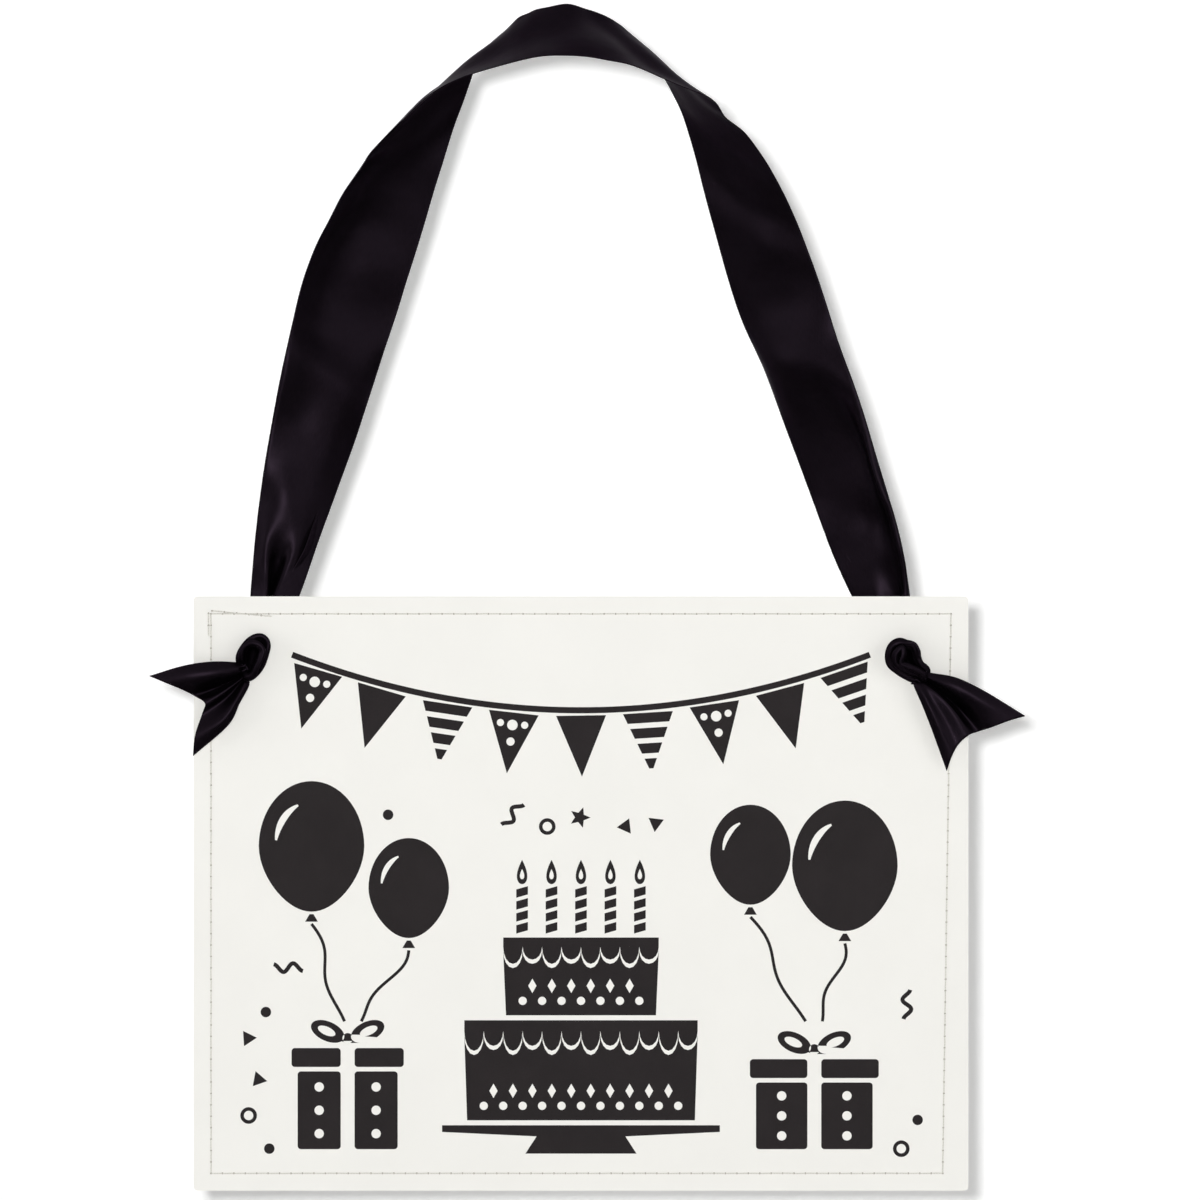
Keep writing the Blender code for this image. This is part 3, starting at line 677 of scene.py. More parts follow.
def loop_row(station, middle, tangent, waves, width):
    """One row of the loop's cloth, folded and turned as its station says."""
    clock, turn, slant = (math.radians(v) for v in station[3:6])
    kept, gathered = station[6], held(station[11])
    across = np.array([
        math.cos(clock) * math.cos(turn), math.sin(turn), math.sin(clock) * math.cos(turn)])
    outer = np.cross(tangent, across)
    outer /= np.linalg.norm(outer)
    u, w = strand_section(*station[6:])
    waved = waves + dents(station[0], station[1], np.linspace(0.0, 1.0, LOOP_COLUMNS), width)
    lift = w * width + waved * (1 - gathered)
    slanted = width / math.cos(slant)
    row = np.outer(u, across) * slanted + np.outer(lift, outer)
    sideways = np.array([math.cos(clock), 0.0, math.sin(clock)])
    seen = row @ sideways
    reach = seen.max() - seen.min()
    fitted = (seen - (seen.max() + seen.min()) / 2) * kept * slanted * math.cos(turn) / reach
    row += middle + np.outer(fitted - seen, sideways)
    return row + behind_card(row)


def loop_grid(settings):
    """Cloth points of the loop and the distance of each row along it."""
    route = loop_stations()
    middle = np.stack([route[:, 0], route[:, 2], route[:, 1]], axis=1)
    tangents = unit_rows(np.gradient(middle, axis=0))
    along = lengths_along(middle)
    flat = np.linspace(0.0, 1.0, LOOP_COLUMNS) * settings.width
    rows = zip(route, middle, tangents, ripples(along, flat, settings.ripple))
    return np.array([loop_row(*row, settings.width) for row in rows]), along


def behind_card(row):
    """How far back a row of cloth shifts to lie behind the card where it passes the card."""
    height = row[:, 2].mean()
    rim = HOLE_Z + HOLE_RADIUS
    below_edge = (CARD_HIGH.z + STRAND_EASE - height) / STRAND_EASE
    above_rim = (height - rim) / THROAT_EASE + 1.0
    hold = held(below_edge) * held(above_rim)
    needed = BACK_FACE + STRAND_ROOM - row[:, 1].min()
    return np.array([0.0, max(0.0, needed) * hold, 0.0])


# Knots and tails

def from_hole(hole_x, places):
    """Places given in mm to the right of, above and out from a hole's front rim."""
    places = np.asarray(places, dtype=float) * MM
    right, up, out = places[..., 0], places[..., 1], places[..., 2]
    return np.stack([hole_x + right, FRONT_FACE - out, HOLE_Z + up], axis=-1)


def roll_section(width, half_breadth, half_depth, start, place):
    """Cross-section of ribbon rolled up into a flattened rope, with its creases."""
    a, b = half_breadth, half_depth
    girth = math.pi * (3 * (a + b) - math.sqrt((3 * a + b) * (a + 3 * b)))
    turns = width / (girth * (1 + ROLL_CORE) / 2)
    share = np.linspace(0.0, 1.0, KNOT_COLUMNS)
    shrink = np.sqrt(1 - share * (1 - ROLL_CORE ** 2))
    angle = start + 2 * math.pi * turns * (1 - shrink) / (1 - ROLL_CORE)
    crease = np.zeros(KNOT_COLUMNS)
    for weight, count, drift, first in KNOT_CREASES:
        crease += weight * np.abs(np.sin(count * angle + drift * place + first))
    reach = shrink * (1 - ROLL_CREASE * (CREASE_LEVEL - crease))
    return a * reach * np.cos(angle), b * reach * np.sin(angle)


def knot_grid(hole_x, run, settings):
    """Cloth points of a knot: the rolled-up ribbon swept along its run."""
    stations = smooth_run(run, KNOT_ROWS_PER_STATION)
    points = from_hole(hole_x, stations[:, :3])
    tangents = unit_rows(np.gradient(points, axis=0))
    viewer = np.array([0.0, -1.0, 0.0])
    facing = unit_rows(points - points.mean(axis=0)) * FACES_OUT + viewer * FACES_VIEWER
    facing[0] = (0.0, 0.0, 1.0)
    near = [facing[max(0, k - FACING_ROWS):k + FACING_ROWS + 1] for k in range(len(facing))]
    soft = np.array([rows.mean(axis=0) for rows in near])
    outer = unit_rows(soft - tangents * np.sum(soft * tangents, axis=1, keepdims=True))
    across = np.cross(tangents, outer)
    along = lengths_along(points)
    grid = []
    for k, (breadth, depth) in enumerate(stations[:, 3:]):
        start = ROLL_START + ROLL_TURN * k / len(points)
        u, w = roll_section(settings.width / MM, breadth, depth, start, along[k] / MM)
        grid.append(points[k] + (np.outer(u, across[k]) + np.outer(w, outer[k])) * MM)
    return np.array(grid), along


def even_lines(lines):
    """A tail's lines as smooth runs of points, evenly stepped from the knot to the cut."""
    steps = np.linspace(0.0, 1.0, TAIL_ROWS)
    runs = []
    for line in lines:
        run = smooth_run(np.reshape(line[1:], (-1, 3)), TAIL_LINE_STEPS)
        gone = np.linspace(0.0, 1.0, len(run))
        runs.append(np.stack([np.interp(steps, gone, run[:, a]) for a in range(3)], axis=-1))
    return np.array(runs)


def tail_grid(hole_x, lines, settings):
    """Cloth points of a tail, which opens from its pleats into lobes and a swallow-tail."""
    shares = np.array([line[0] for line in lines])
    fine = np.linspace(0.0, 1.0, TAIL_COLUMNS)
    runs = even_lines(lines)
    across = runs[-1, 0] - runs[0, 0]
    across /= np.linalg.norm(across)
    u, w = fold_section(0.0, np.sin(2 * math.pi * TAIL_FOLDS * fine), TAIL_ROOT_KEPT)
    grid = []
    for k, step in enumerate(np.linspace(0.0, 1.0, TAIL_ROWS)):
        fold = smooth_run(np.column_stack([shares, runs[:, k]]), TAIL_ROW_STEPS)
        order = np.maximum.accumulate(fold[:, 0])
        row = np.stack([np.interp(fine, order, fold[:, a + 1]) for a in range(3)], axis=-1)
        bundle = runs[:, k].mean(axis=0) + np.outer(u, across) * settings.width / MM
        bundle[:, 2] += w * settings.width / MM
        ease = float(eased(1 - step / TAIL_JOIN_SHARE))
        grid.append(from_hole(hole_x, bundle * ease + row * (1 - ease)))
    return np.array(grid)


# Node trees

def add_node(tree, kind, inputs=None, **settings):
    """A node with its settings. An input takes a value, or is linked to a socket."""
    node = tree.nodes.new(kind)
    for key, value in settings.items():
        setattr(node, key, value)
    for key, value in (inputs or {}).items():
        if isinstance(value, bpy.types.NodeSocket):
            tree.links.new(value, node.inputs[key])
        else:
            node.inputs[key].default_value = value
    return node


def math_node(tree, operation, *values, clamp=False):
    """One math step on values or sockets."""
    node = add_node(
        tree, "ShaderNodeMath", dict(enumerate(values)), operation=operation, use_clamp=clamp)
    return node.outputs[0]


def new_tree(name, kind, inputs, outputs):
    """An empty node tree with its sockets, and its input and output nodes."""
    tree = bpy.data.node_groups.new(name, kind)
    for label, socket_type, value in inputs:
        socket = tree.interface.new_socket(
            label, in_out="INPUT", socket_type="NodeSocket" + socket_type)
        if value is not None:
            socket.default_value = value
    for label, socket_type in outputs:
        tree.interface.new_socket(label, in_out="OUTPUT", socket_type="NodeSocket" + socket_type)
    return tree, add_node(tree, "NodeGroupInput").outputs, add_node(tree, "NodeGroupOutput")


# Finishes

def noise(tree, place, scale, detail, roughness):
    """Soft noise over a place, from 0 to 1."""
    return add_node(tree, "ShaderNodeTexNoise", {
        "Vector": place, "Scale": scale, "Detail": detail, "Roughness": roughness}).outputs["Fac"]


def mix_colours(tree, factor, first, second):
    """Two colours mixed by a mask."""
    inputs = {MIX_FACTOR: factor}
    for slot, colour in ((MIX_FIRST, first), (MIX_SECOND, second)):
        inputs[slot] = colour if isinstance(colour, bpy.types.NodeSocket) else (*colour, 1.0)
    return add_node(tree, "ShaderNodeMix", inputs, data_type="RGBA").outputs[MIX_RESULT]


def ramp(tree, factor, low, high, low_value=0.0, high_value=1.0):
    """A value that runs from one level to another as a mask rises."""
    return add_node(tree, "ShaderNodeMapRange", {
        "Value": factor, "From Min": low, "From Max": high, "To Min": low_value,
        "To Max": high_value}).outputs["Result"]


def bumped(tree, height, strength, distance, **under):
    """A normal with a height pressed into it, the distance in mm."""
    return add_node(tree, "ShaderNodeBump", {
        "Height": height, "Strength": strength, "Distance": distance * MM, **under}).outputs["Normal"]


def shade(colour, factor):
    """A colour made darker or lighter."""
    return tuple(min(1.0, c * factor) for c in colour)


def new_material(name):
    """The empty tree of a new material."""
    material = bpy.data.materials.new(name)
    material.use_nodes = True
    material.node_tree.nodes.clear()
    return material.node_tree


def surface(tree, inputs):
    """The shader and the output that end a material's tree."""
    shader = add_node(tree, "ShaderNodeBsdfPrincipled", inputs)
    add_node(tree, "ShaderNodeOutputMaterial", {"Surface": shader.outputs["BSDF"]})


def fibre_group():
    """Fine paper fibre: a fleck mask, a cloudy mask and a height."""
    group, value, sink = new_tree(
        "fibre_surface", "ShaderNodeTree",
        [("Vector", "Vector", None), ("Fleck Scale", "Float", 900.0), ("Cloud Scale", "Float", 24.0)],
        [("Fleck", "Float"), ("Cloud", "Float"), ("Height", "Float")])
    fleck = noise(group, value["Vector"], value["Fleck Scale"], 4.0, 0.62)
    cloud = noise(group, value["Vector"], value["Cloud Scale"], 3.0, 0.5)
    height = math_node(group, "MULTIPLY_ADD", fleck, 0.8, cloud)
    for label, result in (("Fleck", fleck), ("Cloud", cloud), ("Height", height)):
        group.links.new(result, sink.inputs[label])
    return group


def fibre_masks(tree, fibre, fleck_scale, cloud_scale):
    """The fibre group's masks and height on a piece."""
    place = add_node(tree, "ShaderNodeTexCoord").outputs["Object"]
    return add_node(tree, "ShaderNodeGroup", {
        "Vector": place, "Fleck Scale": fleck_scale, "Cloud Scale": cloud_scale},
        node_tree=fibre).outputs


# Card and ink: scales of flecks and clouds; levels and two shades of the clouds; levels and
# shade of the flecks; roughness; specular level; and the tooth's strength and height in mm
CARD_LOOK = {
    "scales": (1500.0, 38.0), "clouds": (0.3, 0.7), "cloud_shades": (0.988, 1.006),
    "flecks": (0.66, 0.8), "fleck_shade": 0.94, "roughness": (0.78, 0.92), "specular": 0.22,
    "tooth": (0.22, 0.03),
}
INK_LOOK = {
    "scales": (1900.0, 60.0), "clouds": (0.35, 0.68), "cloud_shades": (0.92, 1.10),
    "flecks": (0.70, 0.85), "fleck_shade": 1.8, "roughness": (0.62, 0.8), "specular": 0.12,
    "tooth": (0.15, 0.02),
}
# Painted shade round the needle holes, mixed from two tones
NEEDLE_HOLE_PAINTED_SHADES = ((0.40, 0.37, 0.32), (0.62, 0.59, 0.53))
THREAD_TWISTS = 7.0

# Satin: threads to a mm across and along, ribs and edge cords to a mm; shades of its threads and
# edge, and the painted shade in its hollows with the levels of shelter that set it; roughness of
# its threads, and what the edge and folds add to it
SATIN_LOOK = {
    "threads": (6.0, 0.35), "ribs": 2.2, "cords": 1.6, "thread_shades": (0.75, 1.3),
    "edge_shade": 1.5, "painted_hollow_shade": 0.30, "painted_hollow_levels": (0.30, 0.60),
    "roughness": (0.40, 0.48), "edge_dulls": 0.12, "crushed_levels": (0.20, 0.55),
    "crushed_dulls": 0.50, "tint": (0.53, 0.515, 0.535, 1.0),
}


def paper_material(name, fibre, colour, look):
    """Uncoated card, or ink that lets its tooth show: cloudy pulp, small fibres, a faint tooth."""
    tree = new_material(name)
    masks = fibre_masks(tree, fibre, *look["scales"])
    cloud = ramp(tree, masks["Cloud"], *look["clouds"])
    base = mix_colours(tree, cloud, *[shade(colour, factor) for factor in look["cloud_shades"]])
    fleck = ramp(tree, masks["Fleck"], *look["flecks"])
    base = mix_colours(tree, fleck, base, shade(colour, look["fleck_shade"]))
    surface(tree, {
        "Base Color": base, "Roughness": ramp(tree, masks["Fleck"], 0.3, 0.7, *look["roughness"]),
        "Specular IOR Level": look["specular"],
        "Normal": bumped(tree, masks["Height"], *look["tooth"])})


def needle_hole_shade_material(fibre):
    """Painted shade of the card round a needle hole."""
    tree = new_material("needle_hole_painted_shade")
    fleck = fibre_masks(tree, fibre, 2600.0, 24.0)["Fleck"]
    surface(tree, {
        "Base Color": mix_colours(tree, ramp(tree, fleck, 0.35, 0.65), *NEEDLE_HOLE_PAINTED_SHADES),
        "Roughness": ramp(tree, fleck, 0.3, 0.7, 0.85, 0.95), "Specular IOR Level": 0.1})


def thread_material(colour):
    """Cream cotton thread with its twist, with painted shade in the grooves between its plies and a
    painted highlight on their crowns.
    """
    tree = new_material("sewing_thread_cream")
    run, turn = [
        add_node(tree, "ShaderNodeAttribute", attribute_name=name).outputs["Fac"]
        for name in ("strand_run", "strand_turn")]
    twist = math_node(tree, "MULTIPLY_ADD", run, THREAD_TWISTS, turn)
    ply = math_node(tree, "SINE", math_node(tree, "MULTIPLY", twist, 2 * math.pi))
    # Painted shade and highlight: darker where the twist's bump is low, lighter where it is high
    base = mix_colours(tree, ramp(tree, ply, -1.0, 1.0), shade(colour, 0.74), shade(colour, 1.08))
    surface(tree, {
        "Base Color": base, "Roughness": ramp(tree, ply, -1.0, 1.0, 0.85, 0.65),
        "Specular IOR Level": 0.25, "Normal": bumped(tree, ply, 0.6, 0.06)})


def satin_relief(tree, weave, along, warp, border):
    """The satin's normal: warp threads, cross rib, corded selvedge and a soft unevenness."""
    rib, cord = [
        math_node(tree, "SINE", math_node(tree, "MULTIPLY", along, 2 * math.pi * per_mm))
        for per_mm in (SATIN_LOOK["ribs"], SATIN_LOOK["cords"])]
    height = math_node(tree, "MULTIPLY_ADD", warp, 0.7, math_node(tree, "MULTIPLY", rib, 0.05))
    woven = math_node(tree, "MULTIPLY", border, math_node(tree, "MULTIPLY_ADD", cord, 0.35, 0.9))
    fine = bumped(tree, math_node(tree, "ADD", height, woven), 0.30, 0.05)
    return bumped(tree, noise(tree, weave, 0.09, 2.0, 0.5), 0.5, 0.35, Normal=fine)


def satin_material(settings):
    """Near-black satin with a woven selvedge, dull where folds shelter it and darkened there by
    painted shade.
    """
    look, colour = SATIN_LOOK, settings.colour
    tree = new_material("satin_near_black")
    weave = add_node(tree, "ShaderNodeUVMap", uv_map="weave").outputs["UV"]
    split = add_node(tree, "ShaderNodeSeparateXYZ", {"Vector": weave})
    across, along = split.outputs["X"], split.outputs["Y"]
    far_edge = math_node(tree, "SUBTRACT", settings.width / MM, across)
    selvedge = settings.selvedge / MM
    border = ramp(tree, math_node(tree, "MINIMUM", across, far_edge), selvedge, selvedge * 0.7)
    stretched = add_node(tree, "ShaderNodeCombineXYZ", {
        axis: math_node(tree, "MULTIPLY", place, count)
        for axis, place, count in zip("XY", (across, along), look["threads"])})
    warp = noise(tree, stretched.outputs["Vector"], 1.0, 3.0, 0.6)
    folded_in = add_node(tree, "ShaderNodeAttribute", attribute_name="sheltered").outputs["Fac"]

    shades = [shade(colour, factor) for factor in look["thread_shades"]]
    base = mix_colours(tree, ramp(tree, warp, 0.3, 0.7), *shades)
    base = mix_colours(tree, border, base, shade(colour, look["edge_shade"]))
    # Painted shade: the satin's colour is darkened where the folds close it in
    painted_shade = ramp(tree, folded_in, *look["painted_hollow_levels"])
    base = mix_colours(tree, painted_shade, base, shade(colour, look["painted_hollow_shade"]))
    rough = ramp(tree, warp, 0.3, 0.7, *look["roughness"])
    rough = math_node(tree, "MULTIPLY_ADD", border, look["edge_dulls"], rough)
    crushed = ramp(tree, folded_in, *look["crushed_levels"], 0.0, look["crushed_dulls"])
    surface(tree, {
        "Base Color": base, "Roughness": math_node(tree, "ADD", rough, crushed, clamp=True),
        "Metallic": 1.0, "Specular Tint": look["tint"],
        "Normal": satin_relief(tree, weave, along, warp, border)})


def finishes():
    """The materials by name, built at the first call."""
    if "print_ink" not in bpy.data.materials:
        scene = bpy.context.scene
        fibre = fibre_group()
        paper_material("card_stock_uncoated", fibre, scene.sign_card.colour, CARD_LOOK)
        paper_material("print_ink", fibre, scene.sign_print.ink, INK_LOOK)
        thread_material(scene.sign_card.thread_colour)
        needle_hole_shade_material(fibre)
        satin_material(scene.sign_ribbon)
    return bpy.data.materials


# Seam

def growing_tree(name, seed, inputs):
    """A Geometry Nodes tree with a guide, named inputs, a seed and a material."""
    return new_tree(
        name, "GeometryNodeTree",
        [("Geometry", "Geometry", None), *inputs, ("Seed", "Int", seed),
         ("Material", "Material", None)],
        [("Geometry", "Geometry")])


def set_inputs(modifier, values):
    """Set a tree's inputs on its modifier by their sockets' identifiers."""
    for item in modifier.node_group.interface.items_tree:
        if item.item_type == "SOCKET" and item.in_out == "INPUT" and item.name in values:
            modifier[item.identifier] = values[item.name]


def grown_mesh(name, guide, tree, values, material):
    """The plain mesh that a tree grows from a guide object, which is then removed."""
    modifier = guide.modifiers.new("grow", "NODES")
    modifier.node_group = tree
    set_inputs(modifier, {**values, "Material": material})
    data = plain_mesh(name, guide)
    if not len(data.polygons):
        raise RuntimeError(name + " grew no faces")
    if not data.materials:
        data.materials.append(material)
    return add_piece(name, data)


def line_guide(name, runs):
    """Open lines of points as one mesh of edges."""
    points, edges = [], []
    for run in runs:
        first = len(points)
        points += [tuple(p) for p in run]
        edges += [(first + k, first + k + 1) for k in range(len(run) - 1)]
    data = bpy.data.meshes.new(name)
    data.from_pydata(points, edges, [])
    return add_piece(name, data)


def even_points(tree, geometry, measure, amount):
    """Points along the guide's lines, a Length apart or of a set Count."""
    curve = add_node(tree, "GeometryNodeMeshToCurve", {"Mesh": geometry}).outputs["Curve"]
    even = add_node(
        tree, "GeometryNodeResampleCurve", {"Curve": curve, measure: amount}, mode=measure.upper())
    return even.outputs["Curve"]


def turned_copies(tree, value, sink, line, copy, face, sway, choice):
    """Copies on a line's points, each turned a little about the face, with their finish."""
    tangent = add_node(tree, "GeometryNodeInputTangent").outputs["Tangent"]
    along_line = add_node(
        tree, "FunctionNodeAxesToRotation", {"Primary Axis": face, "Secondary Axis": tangent},
        primary_axis="Z", secondary_axis="X")
    chance = add_node(tree, "FunctionNodeRandomValue", {
        RANDOM_LOW: math_node(tree, "MULTIPLY", sway, -1.0), RANDOM_HIGH: sway,
        "Seed": value["Seed"]}, data_type="FLOAT")
    angles = add_node(tree, "ShaderNodeCombineXYZ", {"Z": chance.outputs[RANDOM_VALUE]})
    small = add_node(tree, "FunctionNodeEulerToRotation", {"Euler": angles.outputs["Vector"]})
    turn = add_node(tree, "FunctionNodeRotateRotation", {
        "Rotation": along_line.outputs["Rotation"], "Rotate By": small.outputs["Rotation"]},
        rotation_space="LOCAL")
    copies = add_node(tree, "GeometryNodeInstanceOnPoints", {
        "Points": line, "Instance": copy, "Rotation": turn.outputs["Rotation"], **choice})
    real = add_node(tree, "GeometryNodeRealizeInstances", {"Geometry": copies.outputs["Instances"]})
    smooth = add_node(tree, "GeometryNodeSetShadeSmooth", {"Geometry": real.outputs["Geometry"]})
    painted = add_node(tree, "GeometryNodeSetMaterial", {
        "Geometry": smooth.outputs["Geometry"], "Material": value["Material"]})
    tree.links.new(painted.outputs["Geometry"], sink.inputs["Geometry"])


def seam_copies(tree, value, sink, copy):
    """Copies along the seam, one to each stitch, with none on a line's last point."""
    line = even_points(tree, value["Geometry"], "Length", value["Stitch Length"])
    factor = add_node(tree, "GeometryNodeSplineParameter").outputs["Factor"]
    before_end = add_node(
        tree, "FunctionNodeCompare", {"A": factor, "B": LAST_POINT},
        data_type="FLOAT", operation="LESS_THAN")
    turned_copies(
        tree, value, sink, line, copy, value["Face Normal"], value["Wander"],
        {"Selection": before_end.outputs["Result"]})


def named_attribute(tree, geometry, name, value):
    """The geometry with a number stored on its points."""
    return add_node(
        tree, "GeometryNodeStoreNamedAttribute",
        {"Geometry": geometry, "Name": name, "Value": value},
        data_type="FLOAT", domain="POINT").outputs["Geometry"]


def stitch_tree():
    """Stitches along the seam: each thread dips into its needle holes and crowns between."""
    tree, value, sink = growing_tree("seam_stitches", 3, [
        ("Stitch Length", "Float", 4.1 * MM), ("Thread Thickness", "Float", 0.42 * MM),
        ("Crown", "Float", 0.2 * MM), ("Face Normal", "Vector", (0.0, -1.0, 0.0)),
        ("Wander", "Float", 0.02)])
    length = value["Stitch Length"]
    crown = add_node(tree, "ShaderNodeCombineXYZ", {
        "X": math_node(tree, "MULTIPLY", length, 0.5), "Z": value["Crown"]})
    end = add_node(tree, "ShaderNodeCombineXYZ", {"X": math_node(tree, "MULTIPLY", length, 0.97)})
    arc = add_node(tree, "GeometryNodeCurveQuadraticBezier", {
        "Resolution": 8, "Start": (0.0, 0.0, 0.0), "Middle": crown.outputs["Vector"],
        "End": end.outputs["Vector"]})
    run = add_node(tree, "GeometryNodeSplineParameter").outputs["Factor"]
    off_middle = math_node(tree, "ABSOLUTE", math_node(tree, "MULTIPLY_ADD", run, 2.0, -1.0))
    taper = math_node(tree, "SUBTRACT", 1.02, math_node(tree, "POWER", off_middle, 5.0))
    radius = math_node(tree, "MULTIPLY", value["Thread Thickness"], 0.5)
    ring = add_node(tree, "GeometryNodeCurvePrimitiveCircle", {"Resolution": 6, "Radius": radius})
    turn = add_node(tree, "GeometryNodeSplineParameter").outputs["Factor"]
    swept = add_node(tree, "GeometryNodeCurveToMesh", {
        "Curve": named_attribute(tree, arc.outputs["Curve"], "strand_run", run),
        "Profile Curve": named_attribute(tree, ring.outputs["Curve"], "strand_turn", turn),
        "Scale": math_node(tree, "SQRT", taper), "Fill Caps": True})
    seam_copies(tree, value, sink, swept.outputs["Mesh"])
    return tree


def needle_hole_tree():
    """Needle holes along the seam: a small torn dimple under each end of a stitch."""
    tree, value, sink = growing_tree("seam_needle_holes", 5, [
        ("Stitch Length", "Float", 4.1 * MM), ("Hole Width", "Float", 0.75 * MM),
        ("Face Normal", "Vector", (0.0, -1.0, 0.0)), ("Wander", "Float", 0.6)])
    radius = math_node(tree, "MULTIPLY", value["Hole Width"], 0.5)
    cone = add_node(tree, "GeometryNodeMeshCone", {
        "Vertices": 9, "Side Segments": 1, "Fill Segments": 1, "Radius Bottom": radius,
        "Radius Top": math_node(tree, "MULTIPLY", radius, 0.55), "Depth": 0.05 * MM},
        fill_type="NGON")
    seam_copies(tree, value, sink, cone.outputs["Mesh"])
    return tree


def seam_runs(y):
    """The seam's four sides at a depth, each with its own small drift."""
    left, right = SEAM_LOW.x + STITCH_INSET, SEAM_HIGH.x - STITCH_INSET
    low, high = SEAM_LOW.z + STITCH_INSET, SEAM_HIGH.z - STITCH_INSET
    return [
        [(left, y, high), (right, y, high)],
        [(right, y, high), (right - SEAM_DRIFT * 0.5, y, (low + high) / 2),
         (right - SEAM_DRIFT, y, low)],
        [(right - SEAM_DRIFT, y, low), (left, y, low)],
        [(left, y, low), (left, y, high)],
    ]


def backstitch_runs(y):
    """The few stitches sewn twice where the seam starts and ends, at the top left."""
    left, high = SEAM_LOW.x + STITCH_INSET, SEAM_HIGH.z - STITCH_INSET
    return [
        [(left + 0.4 * MM, y, high + 1.1 * MM), (left + 22.5 * MM, y, high - 1.0 * MM)],
        [(left - 0.9 * MM, y, high + 0.2 * MM), (left - 0.9 * MM, y, high - 8.4 * MM)],
    ]


# Print

def ellipse(u, v, half_width, half_height, steps):
    """An ellipse's outline."""
    angles = [2 * math.pi * k / steps for k in range(steps)]
    return [(u + half_width * math.cos(a), v + half_height * math.sin(a)) for a in angles]


def dot(u, v, radius, steps=20):
    """A round dot's outline."""
    return ellipse(u, v, radius, radius, steps)


def rounded_box(u, v, width, height, radius, steps=6):
    """A box's outline with rounded corners."""
    outline = []
    for su, sv, start in ((1, 1, 0), (-1, 1, 90), (-1, -1, 180), (1, -1, 270)):
        cu, cv = u + su * (width / 2 - radius), v + sv * (height / 2 - radius)
        for k in range(steps + 1):
            angle = math.radians(start + 90 * k / steps)
            outline.append((cu + radius * math.cos(angle), cv + radius * math.sin(angle)))
    return outline


def strip(points, width):
    """The outline of a line drawn at a width, or at a width for each point."""
    pts = np.array(points, dtype=float)
    widths = np.broadcast_to(np.asarray(width, dtype=float), len(pts))
    ahead = unit_rows(np.gradient(pts, axis=0))
    side = np.stack([-ahead[:, 1], ahead[:, 0]], axis=1) * widths[:, None] / 2
    return [tuple(p) for p in pts + side] + [tuple(p) for p in (pts - side)[::-1]]


def moved(outline, u, v, turn=0.0, size=1.0):
    """An outline turned, scaled and moved."""
    c, s = math.cos(turn) * size, math.sin(turn) * size
    return [(u + x * c - y * s, v + x * s + y * c) for x, y in outline]


def diamond(half_width, half_height):
    """A diamond's outline."""
    return [(half_width, 0.0), (0.0, half_height), (-half_width, 0.0), (0.0, -half_height)]


def star(radius, points=5, inner=0.45):
    """A star's outline."""
    outline = []
    for k in range(2 * points):
        reach = radius if k % 2 == 0 else radius * inner
        angle = math.pi / 2 + math.pi * k / points
        outline.append((reach * math.cos(angle), reach * math.sin(angle)))
    return outline


def streamer():
    """A short wavy streamer's outline."""
    return strip([(x, 1.5 * math.sin(x * 0.9)) for x in np.linspace(-5.2, 5.2, 22)], 1.5)


def flame(u, v):
    """A candle flame's outline."""
    outline = []
    for k in range(28):
        angle = 2 * math.pi * k / 28
        x = 2.5 * math.sin(angle) * (0.5 - 0.5 * math.cos(angle)) ** 0.55
        outline.append((u + x, v + 4.4 * math.cos(angle) + 2.4))
    return outline


def balloon(u, v, half_width, half_height, string_to):
    """A balloon with a light patch, its tied neck and its string."""
    body = []
    for x, y in ellipse(0.0, 0.0, half_width, half_height, 64):
        pinch = 1.0 - 0.16 * max(0.0, -y / half_height) ** 1.6
        body.append((u + x * pinch, v + y))
    arc = [math.radians(a) for a in np.linspace(112.0, 172.0, 14)]
    line = [(u + half_width * 0.68 * math.cos(a), v + half_height * 0.68 * math.sin(a)) for a in arc]
    swell = [1.9 * math.sin(math.pi * (k + 0.6) / (len(arc) + 0.2)) + 0.5 for k in range(len(arc))]
    patch = strip(line, np.array(swell) * half_width / 19.0)
    neck_v = v - half_height
    neck = moved([(-2.3, -3.6), (2.3, -3.6), (0.7, -0.9), (-0.7, -0.9)], u, neck_v)
    start = np.array([u, neck_v - 4.4])
    string = []
    for share in np.linspace(0.0, 1.0, 25):
        sway = 2.2 * math.sin(2 * math.pi * share * 1.15) * (1 - 0.5 * share)
        place = start + (np.array(string_to) - start) * share
        string.append((place[0] + sway, place[1]))
    return [body, patch, neck, strip(string, 1.1)]


def gift(u, v, width, height):
    """A wrapped box with its lid, its ribbon left bare and a bow on top."""
    band, gap, lid_height, corner = 5.0, 1.6, 6.8, 1.2
    half = (width - band) / 2
    side = (half + band) / 2
    lid_v = v + height / 2 + gap + lid_height / 2
    lid_half = half + 2.2
    bow_v = lid_v + lid_height / 2 + gap
    shapes = [ellipse(u, bow_v + 1.9, 1.9, 1.9, 24)]
    for way in (-1, 1):
        shapes.append(rounded_box(u + way * side, v, half, height, corner))
        lid_side = (lid_half + band) / 2
        shapes.append(rounded_box(u + way * lid_side, lid_v, lid_half, lid_height, corner))
        for outline in (ellipse(0.0, 0.0, 6.4, 3.5, 36), ellipse(0.4, 0.0, 3.4, 1.5, 28)):
            mirrored = [(x * way, y) for x, y in outline]
            shapes.append(moved(mirrored, u + way * 7.2, bow_v + 4.4, math.radians(24.0) * way))
        for k in (-1, 0, 1):
            shapes.append(dot(u + way * side, v + k * height * 0.30, 1.7))
    return shapes


def scallops(u, top, width, depth, count):
    """Icing's lower edge from left to right: scallops of two depths in turn."""
    each = width / count
    edge = []
    for k in range(count):
        low = depth * (0.75 if k % 2 else 1.0)
        for j in range(SCALLOP_STEPS + 1):
            angle = math.pi * j / SCALLOP_STEPS
            x = u - width / 2 + each * (k + 0.5 - 0.5 * math.cos(angle))
            edge.append((x, top - low * 0.65 * math.sin(angle)))
    return edge


